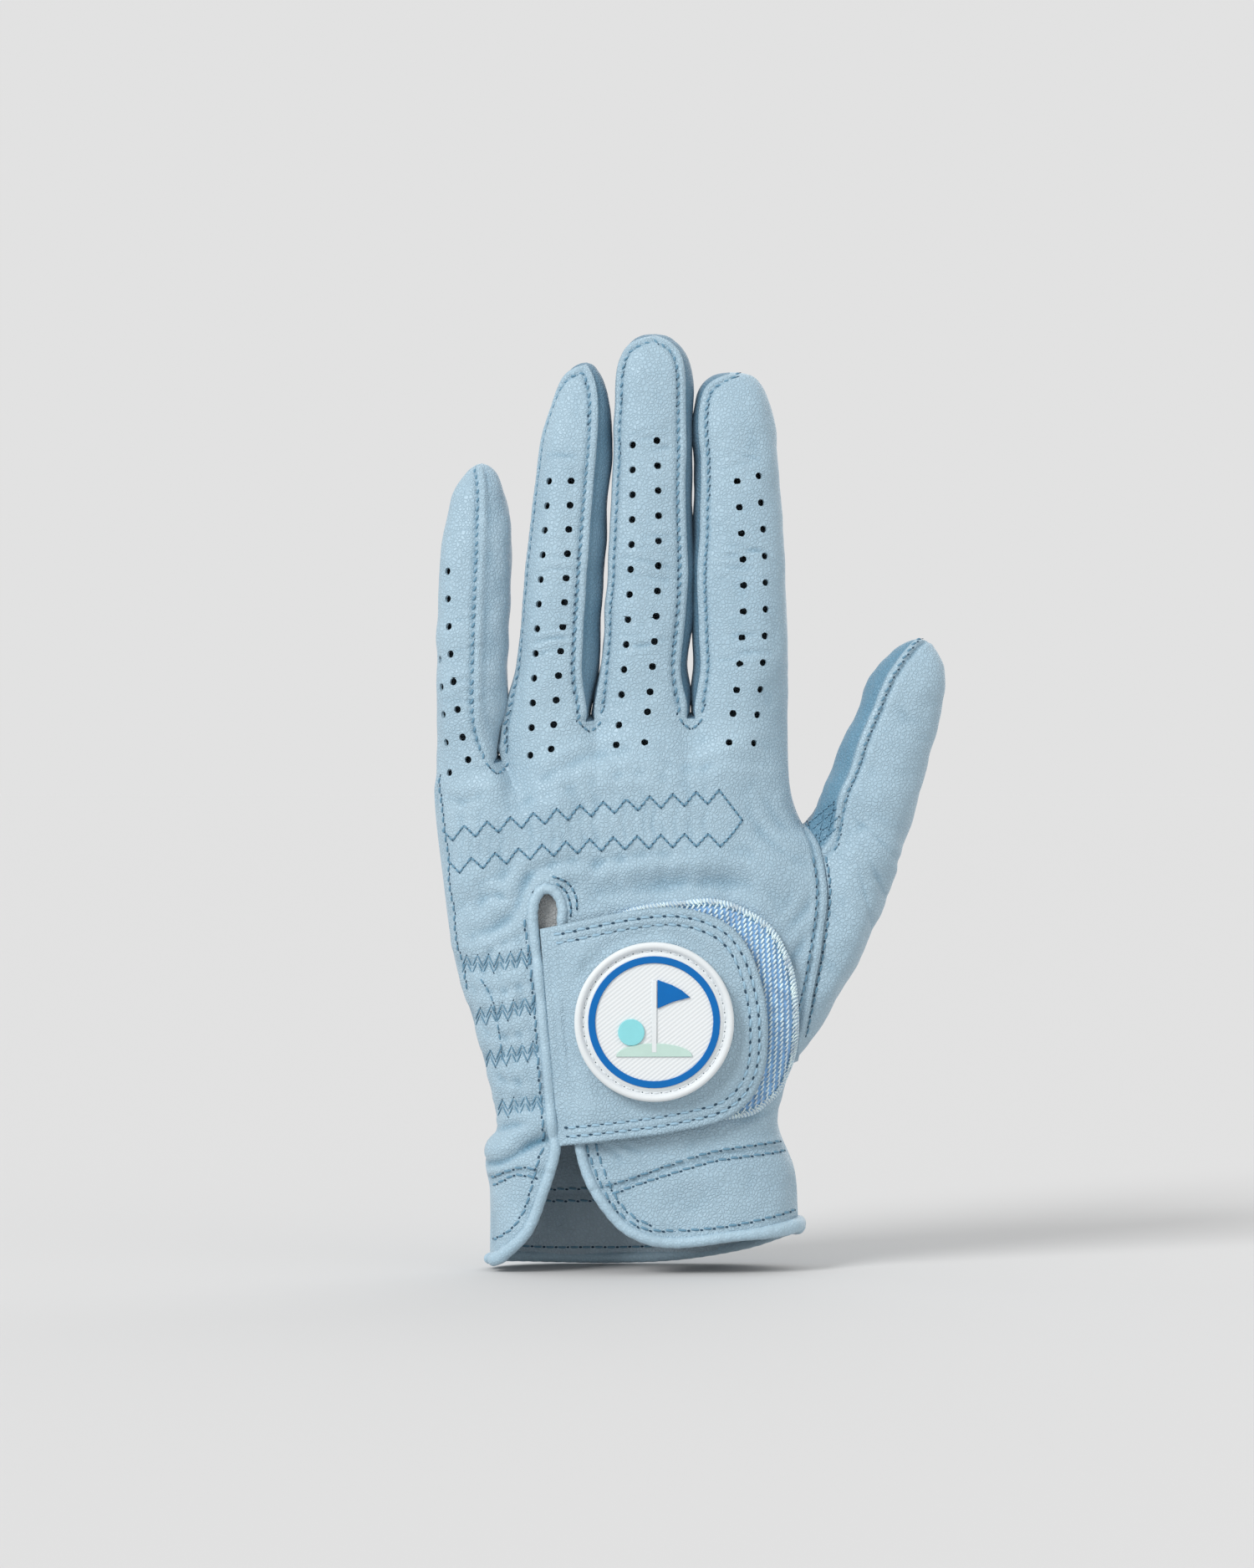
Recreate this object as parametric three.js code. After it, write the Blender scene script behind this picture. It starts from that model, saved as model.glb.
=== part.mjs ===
// A left-hand golf glove in its worn shape: thin leather panels sewn round the hollow that a hand fills,
// elasticated gathers, a slit at the back of the wrist, and a hook-and-loop closure tab with a round badge.
//
// Frame, in millimetres: +Z runs from the wrist opening to the fingertips, +X to the thumb side, and -Y is
// the back of the hand, so +Y is the palm. The origin is the middle of the wrist opening, level with its
// lowest edge.
import * as THREE from "three";

// ---------------------------------------------------------------- driving dimensions
const LEATHER = 1.0; // wall of a sewn panel, with its seam allowance
const GAP = 0.3; // between neighbouring pieces
const OVAL = 2.6; // exponent of the hand's oval section
const FINGER_OVAL = 2.4; // exponent of a finger's section
const ROLL = 1.3; // radius of the rolled edge binding
const SLIT = 1.3; // half the width of the open slit
const PALM_FLAT_Y = 15.6; // the palm is flat at this depth

const COLOURS = {
  leather: 0xa7c9de,
  binding: 0xb0cfe2,
  loop: 0x9fc3e6,
  hook: 0xe8f0f6,
  elastic: 0xe9e7e0,
  rubber: 0xf3f3f0,
  blue: 0x0d63b8,
  aqua: 0x9fdde6,
  mint: 0xc6e2dc,
};

const rad = THREE.MathUtils.degToRad;
const { clamp, lerp, smoothstep } = THREE.MathUtils;
const vec = (x, y, z) => new THREE.Vector3(x, y, z);

// A smooth function through [at, value] points, level with the end values outside them.
function curve(points) {
  const slope = (i) => {
    const [a, b] = [points[Math.max(i - 1, 0)], points[Math.min(i + 1, points.length - 1)]];
    return (b[1] - a[1]) / (b[0] - a[0]);
  };
  return (at) => {
    const t = clamp(at, points[0][0], points.at(-1)[0]);
    let i = 0;
    while (i < points.length - 2 && t > points[i + 1][0]) i += 1;
    const [[t0, v0], [t1, v1]] = [points[i], points[i + 1]];
    const h = t1 - t0;
    const u = (t - t0) / h;
    const m0 = slope(i) * h;
    const m1 = slope(i + 1) * h;
    const fromStart = v0 * (1 + 2 * u) * (1 - u) ** 2 + m0 * u * (1 - u) ** 2;
    return fromStart + v1 * u * u * (3 - 2 * u) + m1 * u * u * (u - 1);
  };
}

// ---------------------------------------------------------------- the hand's section at each height
const leftSide = curve([[0, -37.4], [19, -37.4], [26, -38.4], [35, -35.6], [50, -38.8], [75, -45.4],
  [95, -48.2], [112, -50], [128, -50]]);
const rightOval = curve([[0, 36.6], [15, 36.2], [24, 35.4], [36, 31.4], [50, 35.6], [60, 42], [75, 46.5],
  [90, 47], [100, 43], [106, 37.6], [113, 34.8], [120, 34], [137, 33.7]]);
const backDepth = curve([[0, 16], [36, 14.5], [60, 15.5], [90, 15], [118, 13.5], [140, 11]]);
const palmDepth = curve([[0, 17], [36, 15.5], [60, 17], [90, 16.5], [118, 13], [140, 8.5]]);
// The thumb is set into an opening in the hand's right side, between these heights.
const THUMB_LOW = 50;
const THUMB_HIGH = 106;
const backSeam = curve([[50, 35.6], [60, 37.6], [75, 40.6], [90, 42.4], [100, 41], [106, 37.6]]);
const palmSeam = curve([[50, 35.6], [60, 31], [75, 27], [90, 27], [100, 31], [106, 37.6]]);

const inThumbOpening = (z) => z > THUMB_LOW && z < THUMB_HIGH;
const backRight = (z) => (inThumbOpening(z) ? backSeam(z) : rightOval(z));
const palmRight = (z) => (inThumbOpening(z) ? palmSeam(z) : rightOval(z));

function ovalShare(x, z) {
  const middle = (leftSide(z) + rightOval(z)) / 2;
  const half = (rightOval(z) - leftSide(z)) / 2;
  return Math.max(0, 1 - Math.abs(clamp((x - middle) / half, -1, 1)) ** OVAL) ** (1 / OVAL);
}
const backY = (x, z) => -backDepth(z) * ovalShare(x, z);
const palmY = (x, z) => Math.min(palmDepth(z) * ovalShare(x, z), PALM_FLAT_Y);

// ---------------------------------------------------------------- fingers
// Angles run round a finger's section from its right side (0) over its back (90) to its left side (180) and
// palm. right and left hold the back seam's and the palm seam's angle; where they are equal there is no
// fourchette.
const FINGERS = [
  { name: "little", base: [-41.7, 127], tip: [-39.4, 192.8], half: [8.4, 8.6], dome: 25, dull: 2,
    bow: -0.6, depth: [8, 7], y: -1, curl: 6, right: [80, -25], left: [180, 180] },
  { name: "ring", base: [-21.2, 136.5], tip: [-14.3, 217], half: [9.7, 8.5], dome: 27, dull: 2.1,
    bow: -0.6, depth: [9, 7.8], y: -1.5, curl: 6, right: [62, -35], left: [172, 232] },
  { name: "middle", base: [-1.2, 137], tip: [2.2, 223.8], half: [9.9, 9.4], dome: 18, dull: 2.4,
    bow: 0.5, depth: [9.2, 8], y: -1.5, curl: 6, right: [42, -35], left: [158, 215] },
  { name: "index", base: [22.8, 137], tip: [20, 214.6], half: [10.9, 9.9], dome: 18.5, dull: 2.4,
    bow: 0.9, depth: [9.2, 8], y: -1.5, curl: 6, right: [0, 0], left: [142, 215] },
];
const MIDDLE_JOINT = 0.4; // where a finger's middle joint is, as a share of its length from the base
const TIP_END = 0.995; // a finger's panels stop short of the very tip, which its seams close
const signedPower = (value, power) => Math.sign(value) * Math.abs(value) ** power;

for (const f of FINGERS) {
  const along = vec(f.tip[0] - f.base[0], 0, f.tip[1] - f.base[1]);
  f.length = along.length();
  f.along = along.normalize();
  f.across = vec(f.along.z, 0, -f.along.x);
}

// The middle of finger f's section at distance s from its base.
function fingerMiddle(f, s) {
  const t = s / f.length;
  return vec(f.base[0], f.y + f.curl * Math.max(t, 0) ** 2, f.base[1])
    .addScaledVector(f.along, s)
    .addScaledVector(f.across, f.bow * 4 * t * (1 - t));
}

// The section's half width and half depth there.
function fingerHalves(f, s) {
  const shoulder = f.length - f.dome;
  const t = clamp(s / shoulder, 0, 1);
  const end = s > shoulder ? (1 - ((s - shoulder) / f.dome) ** f.dull) ** (1 / f.dull) : 1;
  return [lerp(f.half[0], f.half[1], t) * end, lerp(f.depth[0], f.depth[1], t) * end];
}

function fingerPoint(f, s, degrees) {
  const [half, depth] = fingerHalves(f, s);
  const power = 2 / FINGER_OVAL;
  return fingerMiddle(f, s)
    .addScaledVector(f.across, half * signedPower(Math.cos(rad(degrees)), power))
    .add(vec(0, -depth * signedPower(Math.sin(rad(degrees)), power), 0));
}

// ---------------------------------------------------------------- building panels
// A closed shell over a grid of outer points. inward(i, j) is the unit normal towards the wearer, wall is the
// thickness, and keep(i, j) says whether the cell from point (i, j) to (i + 1, j + 1) is there.
function shell(points, inward, wall = LEATHER, keep = () => true) {
  const rows = points.length;
  const columns = points[0].length;
  const index = (i, j) => i * columns + j;
  const positions = points.flat().flatMap((p) => p.toArray());
  points.forEach((row, i) =>
    row.forEach((p, j) => positions.push(...p.clone().addScaledVector(inward(i, j), wall).toArray())),
  );
  const kept = (i, j) => i >= 0 && j >= 0 && i < rows - 1 && j < columns - 1 && keep(i, j);
  const inner = rows * columns;
  const faces = [];
  const quad = (a, b, c, d) => faces.push(a, b, c, a, c, d);
  for (let i = 0; i < rows - 1; i += 1)
    for (let j = 0; j < columns - 1; j += 1) {
      if (!kept(i, j)) continue;
      const [a, b, c, d] = [index(i, j), index(i, j + 1), index(i + 1, j + 1), index(i + 1, j)];
      quad(a, b, c, d);
      quad(inner + d, inner + c, inner + b, inner + a);
      const edges = [[a, b, i - 1, j], [b, c, i, j + 1], [c, d, i + 1, j], [d, a, i, j - 1]];
      for (const [p, q, ni, nj] of edges) if (!kept(ni, nj)) quad(p, inner + p, inner + q, q);
    }
  return closedGeometry(positions, faces);
}

// The normal of a surface point(u, v) towards the point inside.
function normalTowards(inside, point, u, v, du, dv) {
  const alongU = point(u + du, v).sub(point(u - du, v));
  const alongV = point(u, v + dv).sub(point(u, v - dv));
  const normal = alongU.cross(alongV).normalize();
  return normal.dot(inside.clone().sub(point(u, v))) < 0 ? normal.negate() : normal;
}

// The same from a grid's own neighbouring points.
function gridNormal(points, i, j, inside) {
  const at = (a, b) => points[clamp(a, 0, points.length - 1)][clamp(b, 0, points[0].length - 1)].clone();
  const normal = at(i + 1, j).sub(at(i - 1, j)).cross(at(i, j + 1).sub(at(i, j - 1))).normalize();
  return normal.dot(inside.clone().sub(points[i][j])) < 0 ? normal.negate() : normal;
}

// A geometry whose faces point out, without the points that no face uses.
function closedGeometry(positions, faces) {
  const point = (k) => vec(...positions.slice(3 * k, 3 * k + 3));
  let volume = 0;
  for (let k = 0; k < faces.length; k += 3)
    volume += point(faces[k]).dot(point(faces[k + 1]).cross(point(faces[k + 2])));
  const turned = volume < 0 ? faces.slice().reverse() : faces;
  const used = [...new Set(turned)];
  const renamed = new Map(used.map((old, k) => [old, k]));
  const geometry = new THREE.BufferGeometry();
  const places = used.flatMap((k) => point(k).toArray());
  geometry.setAttribute("position", new THREE.Float32BufferAttribute(places, 3));
  geometry.setIndex(turned.map((k) => renamed.get(k)));
  return geometry;
}

const steps = (from, to, count) => Array.from({ length: count + 1 }, (_, k) => lerp(from, to, k / count));
const grid = (rows, columns, point) => rows.map((r, i) => columns.map((c, j) => point(r, c, i, j)));

function fingerInward(f, s, degrees) {
  const inside = fingerMiddle(f, Math.min(s, f.length - f.dome / 2));
  return normalTowards(inside, (u, v) => fingerPoint(f, u, v), s, degrees, 0.01, 0.5);
}

const glove = new THREE.Group();
glove.name = "golf_glove";
function add(name, geometry, colour, roughness = 0.75) {
  const material = new THREE.MeshStandardMaterial({ color: colour, roughness, metalness: 0 });
  const mesh = new THREE.Mesh(geometry, material);
  mesh.name = name;
  glove.add(mesh);
  return mesh;
}

// ---------------------------------------------------------------- finger stalls: back, palm and fourchettes
const LOWER_STEPS = 3;
const UPPER_STEPS = 6;
for (const f of FINGERS) {
  const joint = MIDDLE_JOINT * f.length;
  const shoulder = (f.length - f.dome + joint) / 2;
  const lower = steps(GAP / 2, joint - GAP / 2, LOWER_STEPS);
  const upper = [joint + GAP / 2, shoulder].concat(
    steps(0, 1, UPPER_STEPS - 1).map((t) => lerp(f.length - f.dome, f.length * TIP_END, 1 - (1 - t) ** 1.7)),
  );
  for (const [part, stations] of [["lower", lower], ["upper", upper]]) {
    // Near the tip the fourchettes narrow to a point, and the back and the palm meet over it.
    const closing = (s) => smoothstep(s, f.length - f.dome, f.length * 0.97);
    const seam = (s, [back, palm]) => {
      const middle = (back + palm) / 2;
      return [lerp(back, middle, closing(s)), lerp(palm, middle, closing(s))];
    };
    const trim = (s) => THREE.MathUtils.radToDeg((GAP * 0.55) / Math.max(fingerHalves(f, s)[1], 1.1));
    const wall = (places) =>
      shell(
        places.map((row) => row.map(([s, angle]) => fingerPoint(f, s, angle))),
        (i, j) => fingerInward(f, ...places[i][j]),
      );
    const sector = (from, to, count) =>
      wall(stations.map((s) => steps(from(s) + trim(s), to(s) - trim(s), count).map((angle) => [s, angle])));
    const back = sector((s) => seam(s, f.right)[0], (s) => seam(s, f.left)[0], 6);
    const palm = sector((s) => seam(s, f.left)[1], (s) => seam(s, f.right)[1] + 360, 6);
    add(`${f.name}_${part}_back`, back, COLOURS.leather);
    add(`${f.name}_${part}_palm`, palm, COLOURS.leather);
    for (const [side, seams] of [["right", f.right], ["left", f.left]]) {
      if (seams[0] === seams[1]) continue;
      const [low, high] = [Math.min(...seams), Math.max(...seams)];
      const end = f.length - f.dome * 0.25;
      const short = stations.filter((s) => s < end).concat(part === "upper" ? [end] : []);
      const strip = short.map((s) => {
        const [a, b] = seam(s, [low, high]);
        return steps(a + trim(s), b - trim(s), 3).map((angle) => [s, angle]);
      });
      add(`${f.name}_${part}_fourchette_${side}`, wall(strip), COLOURS.leather);
    }
  }
}

// ---------------------------------------------------------------- back and palm panels
// Both run from the cuff band up to the finger bases, with a notch between each two fingers.
const CROTCHES = [vec(-35.4, 0, 121), vec(-13.4, 0, 130.8), vec(10.6, 0, 131.4)];
const NOTCH = 1; // half the width of a notch's foot
const slitMiddle = curve([[20, -17.2], [30, -18], [85, -23.2], [100, -27.5], [121, -35.4]]);
const SLIT_TOP = 85; // height of the middle of the slit's round end
const slitEdge = SLIT + 2 * ROLL + GAP;
const slitHalf = (z) => lerp(slitEdge, NOTCH, smoothstep(z, SLIT_TOP + slitEdge, 118));
const webLine = curve([[-50, 120], [-35.4, 121], [-22, 127], [-13.4, 130.8], [10.6, 131.4], [34, 130.5]]);
const cuffSeamLeft = curve([[-38, 22.5], [-30, 25], [-22, 24.5]]);
const cuffSeamRight = curve([[-13, 20.4], [-6, 22], [5, 25.7], [20, 29.2], [36, 30.8]]);
const CUFF_SEAM_PALM = 16.5;

const FINGER_CELLS = 5;
const ROWS_TO_WEB = [0, 0.09, 0.2, 0.31, 0.42, 0.54, 0.67, 0.78, 0.88, 0.95, 1];
const ROWS_ABOVE = 2;

// The columns of a hand panel: each finger's, with the place that each has at the web line.
function handColumns(sectors, rightEnd) {
  const columns = [];
  FINGERS.forEach((f, k) => {
    const [from, to] = sectors(f);
    const angles = steps(from, to, FINGER_CELLS);
    const tops = angles.map((a) => fingerPoint(f, -GAP / 2, a));
    const low = k === 0 ? leftSide(webLine(-50)) : CROTCHES[k - 1].x + NOTCH;
    const high = k === 3 ? rightEnd(webLine(34)) : CROTCHES[k].x - NOTCH;
    tops.forEach((top, n) => {
      const share = (top.x - tops[0].x) / (tops.at(-1).x - tops[0].x);
      columns.push({ finger: k, top, web: lerp(low, high, share), last: n === FINGER_CELLS && k < 3 });
    });
  });
  return columns;
}

// The outer points of a hand panel. ends(z) gives the places of its left side, the slit's two sides if it has
// one, and its right side.
function handGrid(columns, depthAt, bottom, ends, split) {
  const x = (column, j, z) => {
    const [left, slitLeft, slitRight, right] = ends(z);
    const share = (group) => (column.web - group[0].web) / (group.at(-1).web - group[0].web);
    if (!split) return lerp(left, right, share(columns));
    if (j <= FINGER_CELLS) return lerp(left, slitLeft, share(columns.slice(0, FINGER_CELLS + 1)));
    return lerp(slitRight, right, share(columns.slice(FINGER_CELLS + 1)));
  };
  const BLEND = 16; // how far below the web line the hand's section starts to turn into the fingers'
  const lowRow = (column, j, share) => {
    let px = column.web;
    let z = 0;
    for (let pass = 0; pass < 4; pass += 1) {
      z = lerp(bottom(px), webLine(column.web), share);
      px = x(column, j, z);
    }
    const turn = 0.8 * smoothstep(z, webLine(column.web) - BLEND, webLine(column.web));
    return vec(px, lerp(depthAt(px, z), column.top.y, turn), z);
  };
  return [
    ...ROWS_TO_WEB.map((share) => columns.map((c, j) => lowRow(c, j, share))),
    ...steps(0, 1, ROWS_ABOVE).slice(1).map((t) => columns.map((c, j) => lowRow(c, j, 1).lerp(c.top, t))),
  ];
}

const WEB_ROW = ROWS_TO_WEB.length - 1;
const SLIT_ROW = ROWS_TO_WEB.indexOf(0.67);
// The panels' sides meet face to face, so their walls there run straight in.
function handInward(points) {
  const last = points[0].length - 1;
  return (i, j) => {
    const p = points[i][j];
    if (j === 0) return vec(1, 0, 0);
    if (j === last && !inThumbOpening(p.z)) return vec(-1, 0, 0);
    return gridNormal(points, i, j, vec(p.x * 0.6 - 2, 0, p.z));
  };
}

const backColumns = handColumns((f) => [f.left[0], f.right[0]], backRight);
const backPoints = handGrid(
  backColumns,
  backY,
  (x) => (x < slitMiddle(22) ? cuffSeamLeft(x) : cuffSeamRight(x)),
  (z) => [leftSide(z), slitMiddle(z) - slitHalf(z), slitMiddle(z) + slitHalf(z), backRight(z)],
  true,
);
// The back and the palm keep clear of each other where their sides meet.
const SIDE_CLEAR = 0.25;
function sideTrim(points, sign) {
  const atSide = (p) => vec(p.x, Math.abs(p.y) < SIDE_CLEAR ? sign * SIDE_CLEAR : p.y, p.z);
  return points.map((row) => row.map((p, j) => (j === 0 || j === row.length - 1 ? atSide(p) : p)));
}
const backTrimmed = sideTrim(backPoints, -1);
add(
  "back_panel",
  shell(backTrimmed, handInward(backTrimmed), LEATHER, (i, j) => {
    if (!backColumns[j].last) return true;
    return backColumns[j].finger === 0 ? i >= SLIT_ROW && i < WEB_ROW : i < WEB_ROW;
  }),
  COLOURS.leather,
);

const palmColumns = handColumns((f) => [f.left[1], f.right[1] + 360], palmRight);
const palmPoints = handGrid(
  palmColumns,
  palmY,
  () => CUFF_SEAM_PALM,
  (z) => [leftSide(z), 0, 0, palmRight(z)],
  false,
);
const palmTrimmed = sideTrim(palmPoints, 1);
add(
  "palm_panel",
  shell(palmTrimmed, handInward(palmTrimmed), LEATHER, (i, j) => !palmColumns[j].last || i < WEB_ROW),
  COLOURS.leather,
);

// ---------------------------------------------------------------- the webs: a U between each two fingers
CROTCHES.forEach((crotch, k) => {
  const [a, b] = [FINGERS[k], FINGERS[k + 1]];
  const across = steps(0.24, 0.78, 3);
  const drop = (a.base[1] + b.base[1]) / 2 - crotch.z - 1.2;
  const points = steps(0, 1, 8).map((t) =>
    across.map((w) => {
      const from = fingerPoint(a, -GAP / 2, lerp(a.right[0], a.right[1], w));
      const to = fingerPoint(b, -GAP / 2, lerp(b.left[0], b.left[1], w));
      const side = (1 - Math.cos(Math.PI * t)) / 2;
      return from.lerp(to, side).add(vec(0, 0, -drop * Math.sin(Math.PI * t)));
    }),
  );
  const inward = (i, j) => {
    const turn = (Math.PI * i) / (points.length - 1);
    return gridNormal(points, i, j, points[i][j].clone().add(vec(-Math.cos(turn), 0, -Math.sin(turn))));
  };
  add(`web_${a.name}_${b.name}`, shell(points, inward), COLOURS.leather);
});

// ---------------------------------------------------------------- thumb
const THUMB = {
  base: vec(53.6, 0.5, 112.5),
  tip: vec(66.6, 3.5, 150.4),
  half: 11.2,
  depth: 9.6,
  dome: 20,
  dull: 2.1,
};
THUMB.along = THUMB.tip.clone().sub(THUMB.base);
THUMB.length = THUMB.along.length();
THUMB.along.normalize();
THUMB.out = vec(0, -1, 0).addScaledVector(THUMB.along, THUMB.along.y).normalize();
THUMB.inner = THUMB.out.clone().cross(THUMB.along).normalize();
if (THUMB.inner.x > 0) THUMB.inner.negate();
const THUMB_SEAM = 60; // degrees round the thumb from its inner side to the seam along its back
const THUMB_PALM_SEAM = 262;

// Angles run round the thumb from the side next to the hand (0) over its back (90) to its outer side (180).
function thumbPoint(s, degrees) {
  const shoulder = THUMB.length - THUMB.dome;
  const end = s > shoulder ? (1 - ((s - shoulder) / THUMB.dome) ** THUMB.dull) ** (1 / THUMB.dull) : 1;
  const taper = lerp(1, 0.86, clamp(s / shoulder, 0, 1)) * end;
  const power = 2 / FINGER_OVAL;
  return THUMB.base
    .clone()
    .addScaledVector(THUMB.along, s)
    .addScaledVector(THUMB.inner, THUMB.half * taper * signedPower(Math.cos(rad(degrees)), power))
    .addScaledVector(THUMB.out, THUMB.depth * taper * signedPower(Math.sin(rad(degrees)), power));
}

// The thumb's foot follows the seam round the opening in the hand's side.
function thumbFoot(degrees) {
  const middle = (THUMB_LOW + THUMB_HIGH) / 2;
  const z = middle + (middle - THUMB_LOW) * Math.cos(rad(degrees));
  const back = Math.sin(rad(degrees)) > 0;
  const x = back ? backSeam(z) : palmSeam(z);
  const y = back ? backY(x, z) : palmY(x, z);
  return vec(x + 0.6, y * 0.97, z);
}
function thumbLoft(t, degrees) {
  const foot = thumbFoot(degrees);
  const head = thumbPoint(-GAP / 2, degrees);
  const reach = 0.4 * foot.distanceTo(head);
  const leave = vec(0.72, 0, 0.66 + 0.2 * Math.cos(rad(degrees))).normalize();
  return new THREE.CubicBezierCurve3(
    foot,
    foot.clone().addScaledVector(leave, reach),
    head.clone().addScaledVector(THUMB.along, -reach),
    head,
  ).getPoint(t);
}
const thumbMiddle = vec(44, 0, 84);
const thumbRows = steps(0, 1, 5);
const thumbTrim = 1.6;
function thumbPanel(point, rows, middle, step, from, to, count) {
  const angles = steps(from + thumbTrim, to - thumbTrim, count);
  return shell(grid(rows, angles, point), (i, j) =>
    normalTowards(middle(rows[i]), point, rows[i], angles[j], step, 0.5),
  );
}
const thumbBand = (...angles) =>
  thumbPanel(thumbLoft, thumbRows, (t) => thumbMiddle.clone().lerp(THUMB.base, t), 0.01, ...angles);
add("thumb_base_back", thumbBand(THUMB_SEAM, THUMB_PALM_SEAM, 10), COLOURS.leather);
add("thumb_base_palm", thumbBand(THUMB_PALM_SEAM - 360, 4, 5), COLOURS.leather);
add("thumb_gusset", thumbBand(4, THUMB_SEAM, 3), COLOURS.leather);
const thumbStations = [GAP / 2, (THUMB.length - THUMB.dome) / 2].concat(
  steps(0, 1, 5).map((t) => lerp(THUMB.length - THUMB.dome, THUMB.length * 0.99, 1 - (1 - t) ** 1.7)),
);
const thumbTopMiddle = (s) => THUMB.base.clone().addScaledVector(THUMB.along, Math.min(s, THUMB.length - 10));
const thumbTop = (...angles) => thumbPanel(thumbPoint, thumbStations, thumbTopMiddle, 0.01, ...angles);
add("thumb_back", thumbTop(THUMB_SEAM, THUMB_PALM_SEAM, 9), COLOURS.leather);
add("thumb_palm", thumbTop(THUMB_PALM_SEAM - 360, THUMB_SEAM, 7), COLOURS.leather);

// ---------------------------------------------------------------- cuff bands and their rolled edges
// The lower edges of the two back flaps, from the slit to the side, and of the palm.
const flapLeft = curve([[-37.4, 5.2], [-34, 6.4], [-30, 9.6], [-27.5, 15], [-24, 22.5]]);
const flapRight = curve([[-12.2, 20], [-9, 15.5], [-5, 11.4], [0, 9.2], [6, 8.4], [20, 9.4], [37, 11.4]]);
const hemPalm = curve([[-37.4, 3.6], [-20, 2.9], [-5, 2.9], [10, 4], [25, 7.6], [36.6, 11.4]]);

// The wall's direction at a grid point of a piece on the hand's oval.
function towardsHand(points, i, j) {
  const p = points[i][j];
  const middle = (leftSide(p.z) + rightOval(p.z)) / 2;
  const half = (rightOval(p.z) - leftSide(p.z)) / 2;
  const depth = p.y < 0 ? backDepth(p.z) : palmDepth(p.z);
  const slope = (value, size) => (signedPower(value / size, OVAL - 1) || 0) / size;
  return vec(-slope(p.x - middle, half), -slope(p.y, depth), 0).normalize();
}
function cuff(name, from, to, top, low, depthAt, count) {
  const crowded = (t) => t - Math.sin(2 * Math.PI * t) / (4 * Math.PI); // closer together towards the ends
  const columns = steps(0, 1, count).map((t) => lerp(from, to, crowded(t)));
  const points = grid(steps(0, 1, 3), columns, (t, x, i, j) => {
    const z = lerp(low(x), top(x) - GAP, t);
    const y = depthAt(x, z);
    const atSide = j === 0 || j === count;
    return vec(x, atSide ? Math.sign(y || 1) * Math.max(Math.abs(y), SIDE_CLEAR) : y, z);
  });
  add(name, shell(points, (i, j) => towardsHand(points, i, j)), COLOURS.leather);
}
const edge = (side, z) => (side < 0 ? leftSide(z) : rightOval(z));
const cuffBackY = (x, z) => Math.min(backY(x, z), -SIDE_CLEAR);
const cuffPalmY = (x, z) => Math.max(palmY(x, z), SIDE_CLEAR);
const cuffLeft = edge(-1, 12) + 0.05;
cuff("cuff_back_left", cuffLeft, -23.6, cuffSeamLeft, flapLeft, cuffBackY, 6);
cuff("cuff_back_right", -11.4, edge(1, 20) - 0.05, cuffSeamRight, flapRight, cuffBackY, 9);
cuff("cuff_palm", cuffLeft, edge(1, 12) - 0.05, () => CUFF_SEAM_PALM, hemPalm, cuffPalmY, 12);

// A rolled binding: a tube whose line is ROLL + GAP beyond a panel's edge.
function roll(name, points, count, radius = ROLL) {
  const path = new THREE.CatmullRomCurve3(points);
  const section = new THREE.Shape();
  section.absarc(0, 0, radius, 0, 2 * Math.PI);
  const geometry = new THREE.ExtrudeGeometry(section, { steps: count, extrudePath: path, curveSegments: 4 });
  add(name, geometry, COLOURS.binding);
}
const under = (edgeAt, depthAt) => (x) => {
  const z = edgeAt(x) - ROLL - GAP;
  return vec(x, depthAt(x, z), z);
};
const leather = LEATHER / 2; // the middle of the wall, where the rolls' lines run
const atBack = (x, z) => backY(x, z) + leather;
const atPalm = (x, z) => palmY(x, z) - leather;
const beside = ROLL + GAP + 0.4;
roll("hem_back_left", [
  vec(-36.6, -2.6, 3.4), vec(-34.6, atBack(-33.6, 4), 4), vec(-30.6, atBack(-30.6, 5.4), 5.4),
  vec(-27.4, atBack(-27.4, 8.8), 8.8), vec(-25.1, atBack(-25.1, 14), 14), vec(-20.8, atBack(-20.8, 23), 23),
], 14);
roll("hem_back_right", [[-15, 23.4], [-14.7, 19.8], [-11.7, 14.4], [-7.4, 10], [-1.6, 7.2]]
  .map(([x, z]) => vec(x, atBack(x, z), z))
  .concat([6, 18, 28, 34].map(under(flapRight, atBack)))
  .concat([vec(36.4, -2.6, 9.6)]), 22);
roll("hem_palm", [vec(-36.6, 2.6, 2)].concat([-32, -24, -12, 0, 12, 24, 31].map(under(hemPalm, atPalm)))
  .concat([vec(36, 2.6, 8.6)]), 20);
const slitSide = (side, z) => {
  const x = slitMiddle(z) + side * (SLIT + ROLL);
  return vec(x, atBack(x, z), z);
};
const slitRound = [-60, -20, 20, 60].map((a) => {
  const x = slitMiddle(SLIT_TOP) + (SLIT + ROLL) * Math.sin(rad(a));
  const z = SLIT_TOP + (SLIT + ROLL) * Math.cos(rad(a));
  return vec(x, atBack(x, z), z);
});
roll("slit_binding", [24.5, 35, 48, 60, 72, 82].map((z) => slitSide(-1, z)).concat(slitRound)
  .concat([82, 72, 60, 48, 35, 24.5].map((z) => slitSide(1, z))), 44);

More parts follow.
